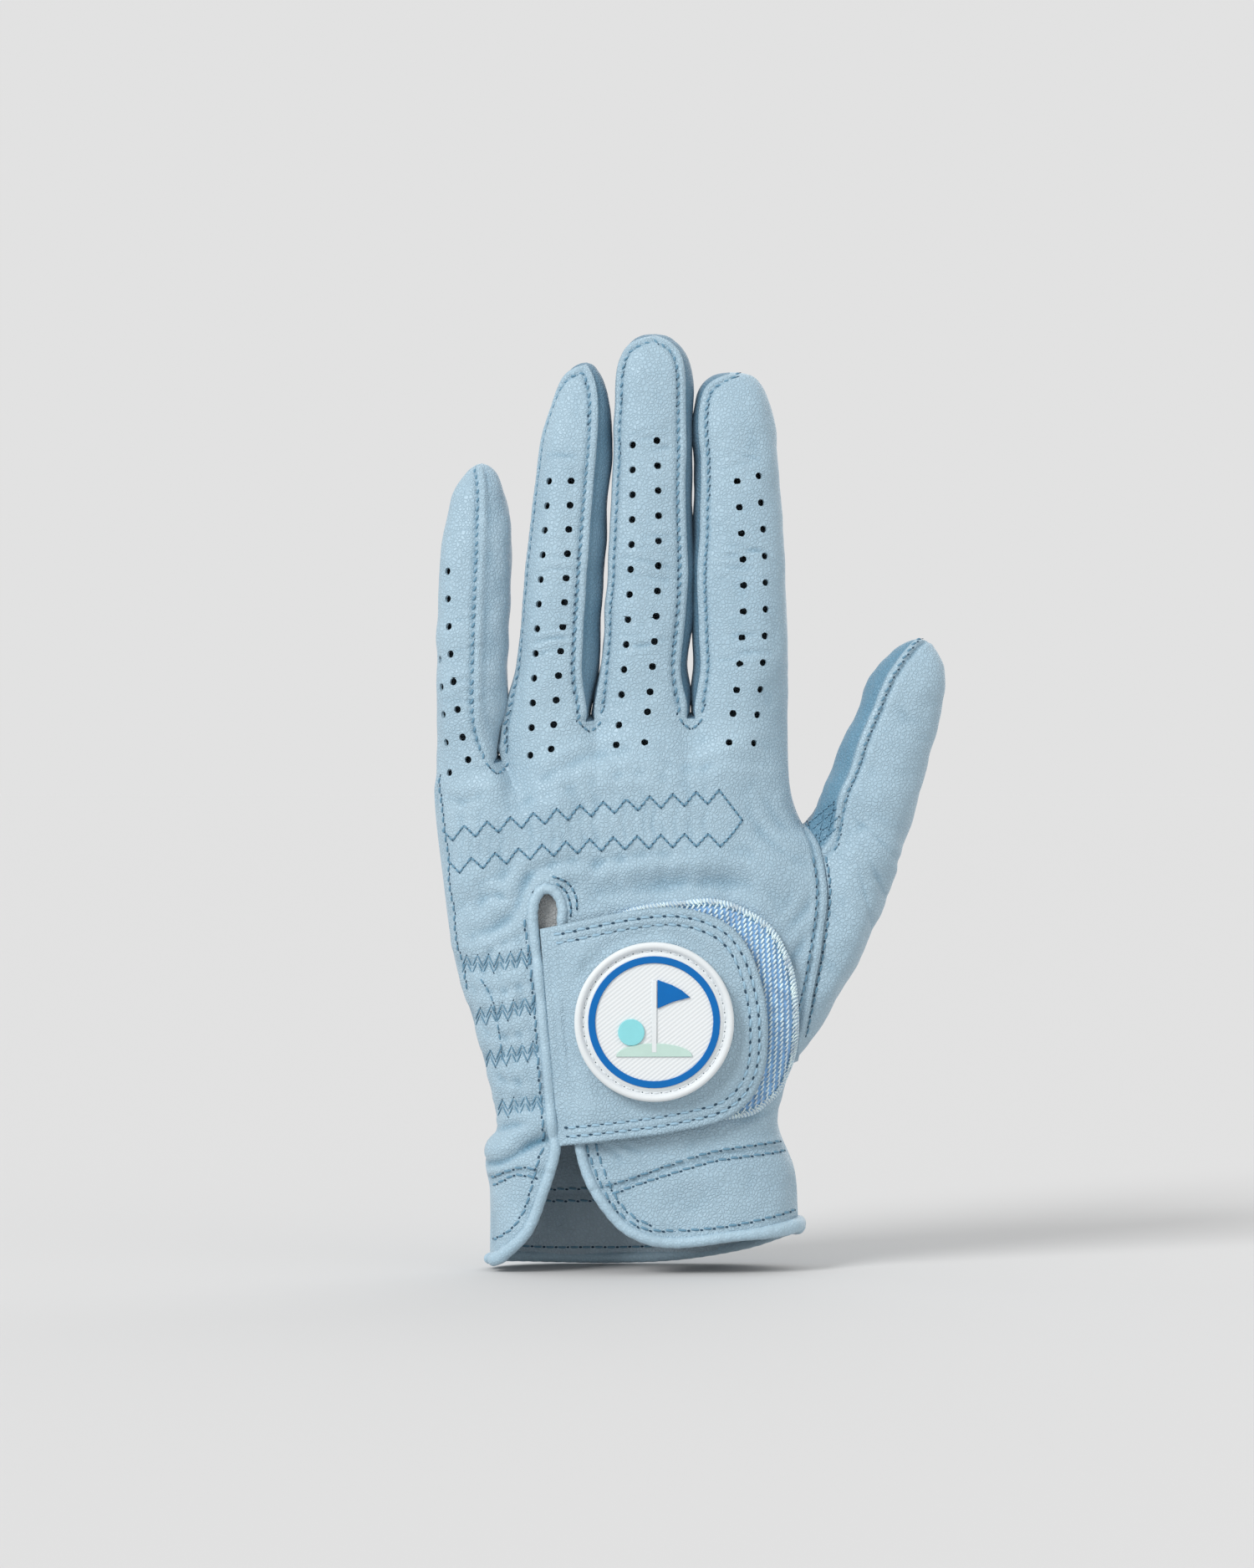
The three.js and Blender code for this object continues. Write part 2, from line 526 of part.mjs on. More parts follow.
// ---------------------------------------------------------------- elastics behind the gathers
const INNER = LEATHER + 1.2;
function elastic(name, from, to, height, slope, tall, count) {
  const points = grid([0, tall], steps(from, to, count), (up, x) => {
    const z = height + slope * (x - from) + up;
    return vec(x, backY(x, z), z);
  });
  points.forEach((row, i) => {
    const offsets = row.map((p, j) => towardsHand(points, i, j).multiplyScalar(INNER));
    row.forEach((p, j) => p.add(offsets[j]));
  });
  add(name, shell(points, (i, j) => towardsHand(points, i, j), 0.7), COLOURS.elastic);
}
elastic("knuckle_elastic", -44, 20, 96.6, 0.11, 9, 10);
const WRIST_ELASTICS = [[37.4, -31.5], [48.6, -34], [59, -36], [68.6, -38]];
WRIST_ELASTICS.forEach(([z, from], k) => {
  const to = slitMiddle(z) - slitEdge - 0.6;
  elastic(`wrist_elastic_${k + 1}`, from, to, z, 0.24, 4.4, 4);
});

// ---------------------------------------------------------------- closure: loop patch, hook pad and tab
// A patch over the back of the hand: square at its left end and round at its right, from lift to lift + wall
// off it. lean is how far its left end moves sideways per millimetre of height.
const LEAN_HEIGHT = 56;
function patch(name, { from, turn, to, half, blunt, middle, lift, wall, colour, lean = 0 }) {
  const columns = steps(from, turn, 4).concat([0.3, 0.55, 0.75, 0.9, 1].map((t) => lerp(turn, to, t)));
  const round = (x) => Math.max(1 - ((x - turn) / (to - turn)) ** blunt, 0.02) ** (1 / blunt);
  const halfAt = (x) => half * (x > turn ? round(x) : 1);
  const points = grid(steps(-1, 1, 8), columns, (v, x) => {
    const z = middle(x) + v * halfAt(x);
    const leant = x + lean * (z - LEAN_HEIGHT) * clamp((turn - x) / (turn - from), 0, 1);
    return vec(leant, backY(leant, z) - lift(x) - smoothstep(x, 18, 35) - wall, z);
  });
  add(name, shell(points, () => vec(0, 1, 0), wall), colour);
}
const tabMiddle = curve([[-22, 56.2], [-8, 58.6], [8, 60.3], [28, 60]]);
const LOOP = { from: -12.5, turn: 14, to: 35.4, half: 26, blunt: 2.2, wall: 1 };
const LOOP_LIFT = 0.3;
const HOOK_LIFT = LOOP_LIFT + 1 + 0.25;
const TAB_LIFT = HOOK_LIFT + 0.8 + 0.25;
const TAB_WALL = 1.2;
const TAB_ROOT_LIFT = 1.3; // over the slit's binding
patch("loop_patch", { ...LOOP, middle: () => 62, lift: () => LOOP_LIFT, colour: COLOURS.loop });
const HOOK = { from: -10.5, turn: 10, to: 26, half: 22.5, blunt: 2.3, wall: 0.8 };
patch("hook_pad", { ...HOOK, middle: tabMiddle, lift: () => HOOK_LIFT, colour: COLOURS.hook });
const TAB_LEAN = -0.08; // the tab's left edge follows the slit
const TAB = { from: -21.6, turn: 7, to: 28.2, half: 26.2, blunt: 2.3, wall: TAB_WALL, lean: TAB_LEAN };
const tabLift = (x) => lerp(TAB_ROOT_LIFT, TAB_LIFT, smoothstep(x, -20, -13));
patch("closure_tab", { ...TAB, middle: tabMiddle, lift: tabLift, colour: COLOURS.leather });

// ---------------------------------------------------------------- badge: a rubber disc, a raised ring and a flag
const BADGE = { x: 1.8, z: 59.9, radius: 18.8, wall: 1.5 };
const BADGE_BACK = -(15.5 + TAB_LIFT + TAB_WALL + 0.3);
function facing(geometry, y) {
  // A solid drawn in the X-Y plane with its thickness along Z, turned to face -Y at depth y.
  geometry.rotateX(Math.PI / 2);
  geometry.translate(BADGE.x, y, BADGE.z);
  return geometry;
}
const disc = new THREE.Shape();
disc.absarc(0, 0, BADGE.radius, 0, 2 * Math.PI);
const extrude = (shape, depth, curveSegments = 20) =>
  new THREE.ExtrudeGeometry(shape, { depth, bevelEnabled: false, curveSegments });
add("badge_base", facing(extrude(disc, BADGE.wall), BADGE_BACK), COLOURS.rubber, 0.55);
const ringShape = new THREE.Shape();
ringShape.absarc(0, 0, 15.5, 0, 2 * Math.PI);
const ringHole = new THREE.Path();
ringHole.absarc(0, 0, 13.9, 0, 2 * Math.PI, true);
ringShape.holes.push(ringHole);
const RAISED = 0.5;
const onBadge = BADGE_BACK - BADGE.wall - 0.25;
add("badge_ring", facing(extrude(ringShape, RAISED), onBadge), COLOURS.blue, 0.5);

const flag = new THREE.Shape();
flag.moveTo(-0.8, -6.5).lineTo(0.8, -6.5).lineTo(0.8, 3.6).lineTo(8, 6.6).lineTo(-0.8, 10).closePath();
add("badge_flag", facing(extrude(flag, RAISED), onBadge), COLOURS.blue, 0.5);
const green = new THREE.Shape();
green.absellipse(0, -7.4, 8.6, 3, Math.PI * 1.02, Math.PI * 1.98);
green.closePath();
add("badge_green", facing(extrude(green, RAISED, 10), onBadge), COLOURS.mint, 0.5);
const ball = new THREE.Shape();
ball.absarc(-6, -2.6, 3, 0, 2 * Math.PI);
add("badge_ball", facing(extrude(ball, RAISED, 10), onBadge), COLOURS.aqua, 0.5);

export default glove;
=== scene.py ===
"""Golf glove: the visible leather, stitching, binding, closure and badge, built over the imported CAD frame.

Lengths are in millimetres until mesh() turns them into metres.
"""

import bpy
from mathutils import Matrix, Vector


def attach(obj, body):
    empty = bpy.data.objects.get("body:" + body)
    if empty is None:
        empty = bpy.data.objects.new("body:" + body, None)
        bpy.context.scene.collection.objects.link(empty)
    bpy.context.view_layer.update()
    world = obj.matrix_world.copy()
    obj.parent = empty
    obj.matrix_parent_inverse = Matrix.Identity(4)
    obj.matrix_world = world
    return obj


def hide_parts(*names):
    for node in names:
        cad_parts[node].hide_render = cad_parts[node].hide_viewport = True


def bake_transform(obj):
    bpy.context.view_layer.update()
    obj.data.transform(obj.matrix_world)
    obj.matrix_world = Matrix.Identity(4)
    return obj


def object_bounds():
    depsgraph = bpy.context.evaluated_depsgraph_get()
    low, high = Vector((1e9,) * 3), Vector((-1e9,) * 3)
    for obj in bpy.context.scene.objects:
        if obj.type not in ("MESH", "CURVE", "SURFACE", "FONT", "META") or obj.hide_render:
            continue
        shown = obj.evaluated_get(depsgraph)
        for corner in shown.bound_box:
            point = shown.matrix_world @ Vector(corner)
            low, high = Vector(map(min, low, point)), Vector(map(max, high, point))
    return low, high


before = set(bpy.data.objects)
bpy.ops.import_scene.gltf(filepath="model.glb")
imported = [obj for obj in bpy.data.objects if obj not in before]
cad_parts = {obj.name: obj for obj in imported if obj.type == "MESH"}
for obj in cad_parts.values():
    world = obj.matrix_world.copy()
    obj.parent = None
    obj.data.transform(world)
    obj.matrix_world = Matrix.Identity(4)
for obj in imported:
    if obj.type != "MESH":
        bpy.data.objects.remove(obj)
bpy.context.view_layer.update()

import math

import bmesh
import bpy
import numpy as np
from mathutils import Vector
from mathutils.bvhtree import BVHTree

MM = 0.001
LEATHER = 0.7  # thickness of the leather


# ------------------------------------------------------------------ small tools
def lerp(a, b, t):
    return a + (b - a) * t


def smooth(x, low, high):
    t = np.clip((np.asarray(x, float) - low) / (high - low), 0, 1)
    return t * t * (3 - 2 * t)


def bell(x, middle, width):
    return np.exp(-(((np.asarray(x, float) - middle) / width) ** 2))


def unit(v):
    v = np.asarray(v, float)
    return v / np.maximum(np.linalg.norm(v, axis=-1, keepdims=True), 1e-12)


def curve(points):
    """A smooth function through (at, value) points, level outside them."""
    at, value = np.array(points, float).T
    slope = np.empty_like(at)
    slope[1:-1] = (value[2:] - value[:-2]) / (at[2:] - at[:-2])
    slope[0] = (value[1] - value[0]) / (at[1] - at[0])
    slope[-1] = (value[-1] - value[-2]) / (at[-1] - at[-2])

    def evaluate(x):
        t = np.clip(np.asarray(x, float), at[0], at[-1])
        i = np.clip(np.searchsorted(at, t, side="right") - 1, 0, len(at) - 2)
        h = at[i + 1] - at[i]
        u = (t - at[i]) / h
        return (
            value[i] * (1 + 2 * u) * (1 - u) ** 2
            + slope[i] * h * u * (1 - u) ** 2
            + value[i + 1] * u * u * (3 - 2 * u)
            + slope[i + 1] * h * u * u * (u - 1)
        )

    return evaluate


def smooth_path(points, spacing, closed=False):
    """Evenly spaced points on a Catmull-Rom curve through the given ones, in any number of dimensions."""
    p = np.array(points, float)
    n = len(p)
    spans = n if closed else n - 1
    ring = (lambda i: p[i % n]) if closed else (lambda i: p[min(max(i, 0), n - 1)])
    fine = []
    for i in range(spans):
        a, b, c, d = ring(i - 1), ring(i), ring(i + 1), ring(i + 2)
        for t in np.linspace(0, 1, 24, endpoint=False):
            fine.append(
                0.5 * (2 * b + (c - a) * t + (2 * a - 5 * b + 4 * c - d) * t**2 + (3 * b - a - 3 * c + d) * t**3)
            )
    fine.append(ring(spans))
    return resample(np.array(fine), spacing)


def resample(path, spacing):
    path = np.asarray(path, float)
    along = np.concatenate([[0], np.cumsum(np.linalg.norm(np.diff(path, axis=0), axis=1))])
    count = max(int(round(along[-1] / spacing)), 2)
    at = np.linspace(0, along[-1], count + 1)
    return np.stack([np.interp(at, along, path[:, k]) for k in range(path.shape[1])], axis=1)


def ripple(x, z, seed, wavelengths, strength):
    """A repeatable smooth unevenness: a few crossed waves."""
    draw = np.random.default_rng(seed)
    total = np.zeros(np.broadcast(x, z).shape)
    for length in wavelengths:
        for _ in range(4):
            turn, phase = draw.uniform(0, 2 * math.pi, 2)
            k = 2 * math.pi / (length * draw.uniform(0.8, 1.25))
            bend = 0.9 * np.sin(0.5 * k * (x * math.sin(turn) - z * math.cos(turn)) + phase * 1.7)
            total = total + np.sin(k * (x * math.cos(turn) + z * math.sin(turn)) + phase + bend)
    return strength * total / (2 * len(wavelengths))


# ------------------------------------------------------------------ the glove's shape, as the CAD has it
OVAL = 2.6
FINGER_OVAL = 2.4
PALM_FLAT_Y = 15.6
THUMB_LOW, THUMB_HIGH = 50, 106
left_side = curve([(0, -37.4), (19, -37.4), (26, -38.4), (35, -35.6), (50, -38.8), (75, -45.4), (95, -48.2),
                   (112, -50), (128, -50)])
right_oval = curve([(0, 36.6), (15, 36.2), (24, 35.4), (36, 31.4), (50, 35.6), (60, 42), (75, 46.5), (90, 47),
                    (100, 43), (106, 37.6), (113, 34.8), (120, 34), (137, 33.7)])
back_depth = curve([(0, 16), (36, 14.5), (60, 15.5), (90, 15), (118, 13.5), (140, 11)])
palm_depth = curve([(0, 17), (36, 15.5), (60, 17), (90, 16.5), (118, 13), (140, 8.5)])
back_seam = curve([(50, 35.6), (60, 37.6), (75, 40.6), (90, 42.4), (100, 41), (106, 37.6)])
palm_seam = curve([(50, 35.6), (60, 31), (75, 27), (90, 27), (100, 31), (106, 37.6)])


def back_right(z):
    return np.where((z > THUMB_LOW) & (z < THUMB_HIGH), back_seam(z), right_oval(z))


def palm_right(z):
    return np.where((z > THUMB_LOW) & (z < THUMB_HIGH), palm_seam(z), right_oval(z))


def oval_share(x, z):
    middle = (left_side(z) + right_oval(z)) / 2
    half = (right_oval(z) - left_side(z)) / 2
    return np.maximum(1 - np.abs(np.clip((x - middle) / half, -1, 1)) ** OVAL, 0) ** (1 / OVAL)


def back_y(x, z):
    return -back_depth(z) * oval_share(x, z)


def palm_y(x, z):
    return np.minimum(palm_depth(z) * oval_share(x, z), PALM_FLAT_Y)


FINGERS = [
    dict(name="little", base=(-41.7, 127), tip=(-39.4, 192.8), half=(8.4, 8.6), dome=25, dull=2,
         bow=-0.6, depth=(8, 7), y=-1, right=(80, -25), left=(180, 180)),
    dict(name="ring", base=(-21.2, 136.5), tip=(-14.3, 217), half=(9.7, 8.5), dome=27, dull=2.1,
         bow=-0.6, depth=(9, 7.8), y=-1.5, right=(62, -35), left=(180, 236)),
    dict(name="middle", base=(-1.2, 137), tip=(2.2, 223.8), half=(9.9, 9.4), dome=18, dull=2.6,
         bow=0.5, depth=(9.2, 8), y=-1.5, right=(42, -35), left=(158, 215), fuller=(1.9, 0)),
    dict(name="index", base=(22.8, 137), tip=(20, 214.6), half=(10.9, 9.9), dome=18.5, dull=2.8,
         bow=0.9, depth=(9.2, 8), y=-1.5, right=(0, 0), left=(142, 215), fuller=(0.3, 1.8)),
]
CURL = 6
for f in FINGERS:
    along = np.array([f["tip"][0] - f["base"][0], 0, f["tip"][1] - f["base"][1]])
    f["length"] = float(np.linalg.norm(along))
    f["along"] = along / f["length"]
    f["across"] = np.array([f["along"][2], 0, -f["along"][0]])
    f["origin"] = np.array([f["base"][0], 0, f["base"][1]])
    f["shoulder"] = f["length"] - f["dome"]


def finger_middle(f, s):
    s = np.asarray(s, float)[..., None]
    t = s / f["length"]
    up = np.array([0, 1.0, 0])
    return f["origin"] + f["along"] * s + f["across"] * (f["bow"] * 4 * t * (1 - t)) + up * (
        f["y"] + CURL * np.maximum(t, 0) ** 2
    )


def finger_halves(f, s):
    s = np.asarray(s, float)
    t = np.clip(s / f["shoulder"], 0, 1)
    over = np.clip((s - f["shoulder"]) / f["dome"], 0, 1)
    end = np.maximum(1 - over ** f["dull"], 0) ** (1 / f["dull"])
    return lerp(*f["half"], t) * end, lerp(*f["depth"], t) * end


def power(value, exponent):
    return np.sign(value) * np.abs(value) ** exponent


def finger_point(f, s, degrees):
    half, depth = finger_halves(f, s)
    a = np.radians(degrees)
    c = power(np.cos(a), 2 / FINGER_OVAL)
    d = power(np.sin(a), 2 / FINGER_OVAL)
    right, left = f.get("fuller", (0, 0))
    swell = bell(s, 24, 19) * (right * np.maximum(c, 0) - left * np.maximum(-c, 0))
    return (finger_middle(f, s) + f["across"] * (half * c + swell)[..., None]
            + np.array([0, -1.0, 0]) * (depth * d)[..., None])


# ------------------------------------------------------------------ meshes
def grid_faces(rows, columns, closed=False, keep=None):
    """Quads over a grid of points. keep is a (rows - 1, columns or columns - 1) array of the cells to make."""
    last = columns if closed else columns - 1
    i, j = np.meshgrid(np.arange(rows - 1), np.arange(last), indexing="ij")
    k = (j + 1) % columns
    quads = np.stack([i * columns + j, i * columns + k, (i + 1) * columns + k, (i + 1) * columns + j], axis=-1)
    if keep is not None:
        quads = quads[keep]
    return quads.reshape(-1, 4)


def vertex_normals(points, faces):
    a, b, c, d = (points[faces[:, k]] for k in range(4))
    normal = np.cross(c - a, d - b)
    total = np.zeros_like(points)
    for k in range(4):
        np.add.at(total, faces[:, k], normal)
    return unit(total)


def outwards(points, faces, middle):
    """Faces turned, all together, so that on the whole they look away from the middle."""
    normals = vertex_normals(points, faces)
    used = np.unique(faces)
    facing = np.sum(normals[used] * (points[used] - middle), axis=1).sum()
    return faces if facing > 0 else faces[:, ::-1]


def thicken(points, faces, normals, wall):
    """The same sheet, wall thick, with its edges closed: its points, its faces and which faces are inside."""
    n = len(points)
    inner = points - normals * np.reshape(wall, (-1, 1) if np.ndim(wall) else (1, 1))
    edges = np.concatenate([faces[:, [k, (k + 1) % 4]] for k in range(4)])
    keys = np.minimum(edges[:, 0], edges[:, 1]) * (n + 1) + np.maximum(edges[:, 0], edges[:, 1])
    _, index, count = np.unique(keys, return_index=True, return_counts=True)
    rim = edges[index[count == 1]]
    rim_faces = np.stack([rim[:, 1], rim[:, 0], rim[:, 0] + n, rim[:, 1] + n], axis=1)
    everything = np.concatenate([faces, faces[:, ::-1] + n, rim_faces])
    inside = np.zeros(len(everything), bool)
    inside[len(faces) : 2 * len(faces)] = True
    return np.concatenate([points, inner]), everything, inside


def punch(points, faces, holes, radius):
    """Round holes: faces within radius of a centre go, and the rims left are drawn on to the circle."""
    points = points.copy()
    alive = np.ones(len(faces), bool)
    centres = points[faces].mean(axis=1)
    for centre, normal in holes:
        offset = centres - centre
        height = offset @ normal
        flat = offset - height[:, None] * normal
        hit = (np.linalg.norm(flat, axis=1) < radius) & (np.abs(height) < 2.5) & alive
        gone = np.unique(faces[hit])
        alive &= ~hit
        near = alive & (np.linalg.norm(offset, axis=1) < radius + 2)
        rim = np.intersect1d(gone, np.unique(faces[near]))
        o = points[rim] - centre
        h = o @ normal
        o = o - h[:, None] * normal
        points[rim] = centre + h[:, None] * normal + unit(o) * radius
    return points, faces[alive], alive


def add_object(name, data):
    obj = bpy.data.objects.new(name, data)
    bpy.context.scene.collection.objects.link(obj)
    return obj


def mesh(name, points, faces, materials, slots=None, attributes=None, corner_normals=None):
    """A new object. points are in mm; faces are corner numbers; slots numbers each face's material."""
    data = bpy.data.meshes.new(name)
    faces = faces.tolist() if isinstance(faces, np.ndarray) else faces
    data.from_pydata((np.asarray(points, float) * MM).tolist(), [], faces)
    for material in materials:
        data.materials.append(material)
    if slots is not None:
        data.polygons.foreach_set("material_index", np.asarray(slots, np.int32))
    data.polygons.foreach_set("use_smooth", np.ones(len(data.polygons), bool))
    for key, values in (attributes or {}).items():
        layer = data.attributes.new(key, "FLOAT", "POINT")
        layer.data.foreach_set("value", np.asarray(values, np.float32))
    data.update()
    if corner_normals is not None:
        data.set_sharp_from_angle(angle=math.radians(50))
        data.normals_split_custom_set(corner_normals.tolist())
    return add_object(name, data)


def face_out(data, fill=False):
    """Turns all of a mesh's faces outwards, after closing its open ends if fill is set."""
    shape = bmesh.new()
    shape.from_mesh(data)
    if fill:
        bmesh.ops.holes_fill(shape, edges=[e for e in shape.edges if e.is_boundary], sides=0)
    bmesh.ops.recalc_face_normals(shape, faces=shape.faces)
    for face in shape.faces:
        face.smooth = True
    shape.to_mesh(data)
    shape.free()


def surface_tree(points, faces):
    return BVHTree.FromPolygons([Vector(p) for p in points], [list(map(int, q)) for q in faces])


# ------------------------------------------------------------------ materials
def new_material(name):
    material = bpy.data.materials.new(name)
    material.use_nodes = True
    tree = material.node_tree
    shader = tree.nodes["Principled BSDF"]
    return material, tree, shader


def node(tree, kind, inputs=(), **settings):
    made = tree.nodes.new(kind)
    for key, value in settings.items():
        setattr(made, key, value)
    for key, value in dict(inputs).items():
        if isinstance(value, bpy.types.NodeSocket):
            tree.links.new(value, made.inputs[key])
        else:
            made.inputs[key].default_value = value
    return made


def ramp(tree, factor, first, second, places=(0, 1)):
    """A colour between two, by a factor."""
    made = node(tree, "ShaderNodeValToRGB", {"Fac": factor})
    for element, colour, place in zip(made.color_ramp.elements, (first, second), places):
        element.position = place
        element.color = colour
    return made.outputs["Color"]


def finish_shader(tree, shader, colour, bump, roughness):
    tree.links.new(colour, shader.inputs["Base Color"])
    tree.links.new(bump.outputs[0], shader.inputs["Normal"])
    shader.inputs["Roughness"].default_value = roughness


def srgb(r, g, b):
    def linear(v):
        v /= 255
        return v / 12.92 if v <= 0.04045 else ((v + 0.055) / 1.055) ** 2.4

    return (linear(r), linear(g), linear(b), 1)


def leather_material(name, colour, dark, fold_shade_colour, roughness=0.44, grain=1.0):
    """Full-grain leather: cloudy dye, darkened in its folds by painted shade, with fine pebbled grain and faint
    creases.
    """
    material, tree, shader = new_material(name)
    place = node(tree, "ShaderNodeTexCoord").outputs["Object"]
    cloud = node(tree, "ShaderNodeTexNoise", {"Vector": place, "Scale": 45, "Detail": 4, "Roughness": 0.55})
    patchy = ramp(tree, cloud.outputs["Fac"], dark, colour, (0.3, 0.66))
    wobble = node(tree, "ShaderNodeTexNoise", {"Vector": place, "Scale": 500, "Detail": 2})
    shifted = node(tree, "ShaderNodeVectorMath", {0: wobble.outputs["Color"], "Scale": 0.0011},
                   operation="SCALE")
    bent = node(tree, "ShaderNodeVectorMath", {0: place, 1: shifted.outputs[0]}, operation="ADD")
    cells = node(tree, "ShaderNodeTexVoronoi", {"Vector": bent.outputs[0], "Scale": 1150},
                 feature="DISTANCE_TO_EDGE")
    pebble = node(tree, "ShaderNodeMapRange", {"Value": cells.outputs["Distance"], "From Max": 0.22},
                  interpolation_type="SMOOTHSTEP")
    crease = node(tree, "ShaderNodeTexNoise",
                  {"Vector": place, "Scale": 190, "Detail": 5, "Roughness": 0.6, "Distortion": 1.4})
    first = node(tree, "ShaderNodeBump",
                 {"Strength": 0.6 * grain, "Distance": 0.00024, "Height": pebble.outputs["Result"]})
    second = node(tree, "ShaderNodeBump", {"Strength": 0.2 * grain, "Distance": 0.0008,
                                           "Height": crease.outputs["Fac"], "Normal": first.outputs[0]})
    # Painted shade: where the crease attribute is high, the colour is darkened towards the fold shade colour.
    fold = node(tree, "ShaderNodeAttribute", attribute_name="crease")
    fold_shaded = node(tree, "ShaderNodeMix", {"Factor": fold.outputs["Fac"]}, data_type="RGBA")
    tree.links.new(patchy, fold_shaded.inputs[6])
    fold_shaded.inputs[7].default_value = fold_shade_colour
    speck = node(tree, "ShaderNodeMapRange",
                 {"Value": pebble.outputs["Result"], "To Min": 0.93, "To Max": 1.02})
    grained = node(tree, "ShaderNodeMix", {"Factor": 1.0}, data_type="RGBA", blend_type="MULTIPLY")
    tree.links.new(fold_shaded.outputs[2], grained.inputs[6])
    tree.links.new(speck.outputs["Result"], grained.inputs[7])
    shine = node(tree, "ShaderNodeMapRange",
                 {"Value": cloud.outputs["Fac"], "To Min": roughness - 0.06, "To Max": roughness + 0.08})
    tree.links.new(grained.outputs[2], shader.inputs["Base Color"])
    tree.links.new(shine.outputs["Result"], shader.inputs["Roughness"])
    tree.links.new(second.outputs[0], shader.inputs["Normal"])
    shader.inputs["Specular IOR Level"].default_value = 0.42
    shader.inputs["Sheen Weight"].default_value = 0.08
    shader.inputs["Sheen Roughness"].default_value = 0.45
    return material


def plain_material(name, colour, roughness, scale=1200, bump=0.15, depth=0.0001, variation=0.08):
    material, tree, shader = new_material(name)
    place = node(tree, "ShaderNodeTexCoord").outputs["Object"]
    noise = node(tree, "ShaderNodeTexNoise", {"Vector": place, "Scale": scale, "Detail": 4, "Roughness": 0.6})
    low = tuple(c * (1 - variation) for c in colour[:3]) + (1,)
    high = tuple(min(c * (1 + variation), 1) for c in colour[:3]) + (1,)
    rough = node(tree, "ShaderNodeBump", {"Strength": bump, "Distance": depth, "Height": noise.outputs["Fac"]})
    finish_shader(tree, shader, ramp(tree, noise.outputs["Fac"], low, high, (0.3, 0.7)), rough, roughness)
    return material


# Painted shade: the colour the leather darkens towards in its folds and in the thumb's shaded strip.
FOLD_SHADE = srgb(84, 132, 158)
BACK = leather_material("leather_back", srgb(163, 189, 204), srgb(156, 183, 199), FOLD_SHADE)
PALM = leather_material("leather_palm", srgb(163, 188, 203), srgb(155, 181, 197), FOLD_SHADE)
# Painted shade: the fourchettes' and crotches' leather is made darker than the back and palm, for sides turned from
# the light.
SHADED_SIDE = leather_material("leather_side_painted_shade", srgb(108, 141, 162), srgb(92, 129, 152), FOLD_SHADE)
EDGE = leather_material("leather_binding", srgb(168, 194, 209), srgb(160, 187, 203), FOLD_SHADE,
                        roughness=0.4, grain=0.6)
INSIDE = leather_material("leather_inside", srgb(178, 196, 208), srgb(164, 184, 197), srgb(110, 130, 144),
                          roughness=0.85)
FACING = leather_material("leather_facing", srgb(176, 178, 178), srgb(158, 162, 164), srgb(110, 116, 120),
                          roughness=0.8)
THREAD = plain_material("thread", srgb(98, 140, 164), 0.6, 3000, 0.4)
PALE_THREAD = plain_material("thread_pale", srgb(150, 184, 204), 0.55, 3000, 0.4)
# Painted shade: the dark colour of the small discs that stand for the needle holes.
HOLE_SHADE = plain_material("needle_hole_painted_shade", srgb(38, 66, 86), 0.9)

# ------------------------------------------------------------------ the hand's outline
CROTCHES = [(-35.4, 121), (-13.4, 130.8), (10.6, 131.4)]
NOTCH = 1
SLIT_TOP = 85
KEYHOLE_TOP = 90.2
web_line = curve([(-50, 120), (-35.4, 121), (-22, 127), (-13.4, 130.8), (10.6, 131.4), (34, 130.5)])
slit_middle = curve([(20, -18.6), (30, -19.2), (56, -21), (85, -23.3), (100, -27.5), (121, -35.4)])
cuff_left = curve([(-38, 22.5), (-30, 25), (-22, 24.5)])
cuff_right = curve([(-13, 20.6), (-6, 22), (5, 25.7), (20, 29.2), (36, 30.8)])
hem_left = curve([(-37.4, 2.4), (-34, 4.4), (-30.6, 7.2), (-28, 10), (-26, 14), (-24.2, 18.4), (-22, 24)])
hem_right = curve([(-14.2, 24), (-12.2, 19.4), (-9.2, 15), (-5.6, 11), (-1.5, 8.6), (3, 7.3), (9, 7.2),
                   (20, 8.6), (29, 9.4), (37, 10.4)])
hem_palm = curve([(-37.4, 2.4), (-20, 1.4), (-5, 1.3), (10, 2.2), (25, 5), (36.6, 9.6)])


def slit_half(z):
    return lerp(2.6, NOTCH, smooth(z, SLIT_TOP + 5, 118))


BACK_COLUMNS = 38
GAP_COLUMNS = 3
ROW = 0.55
START = 9.0  # above this distance from its base, a finger's own section holds


def hand_columns(side, right_end):
    """Each finger's columns: their angles at the finger's base and their places on the web line."""
    columns = []
    for k, f in enumerate(FINGERS):
        if side == "back":
            first, last = f["left"][0], f["right"][0]
        else:
            first, last = f["left"][1], f["right"][1] + 360
        angles = np.linspace(first, last, BACK_COLUMNS)
        tops = finger_point(f, np.zeros(BACK_COLUMNS), angles)
        low = float(left_side(web_line(-50))) if k == 0 else CROTCHES[k - 1][0] + NOTCH
        high = float(right_end(web_line(34))) if k == 3 else CROTCHES[k][0] - NOTCH
        share = (tops[:, 0] - tops[0, 0]) / (tops[-1, 0] - tops[0, 0])
        share = lerp(share, np.linspace(0, 1, BACK_COLUMNS), 0.6)
        columns.append(dict(angles=angles, tops=tops, web=lerp(low, high, share)))
    return columns


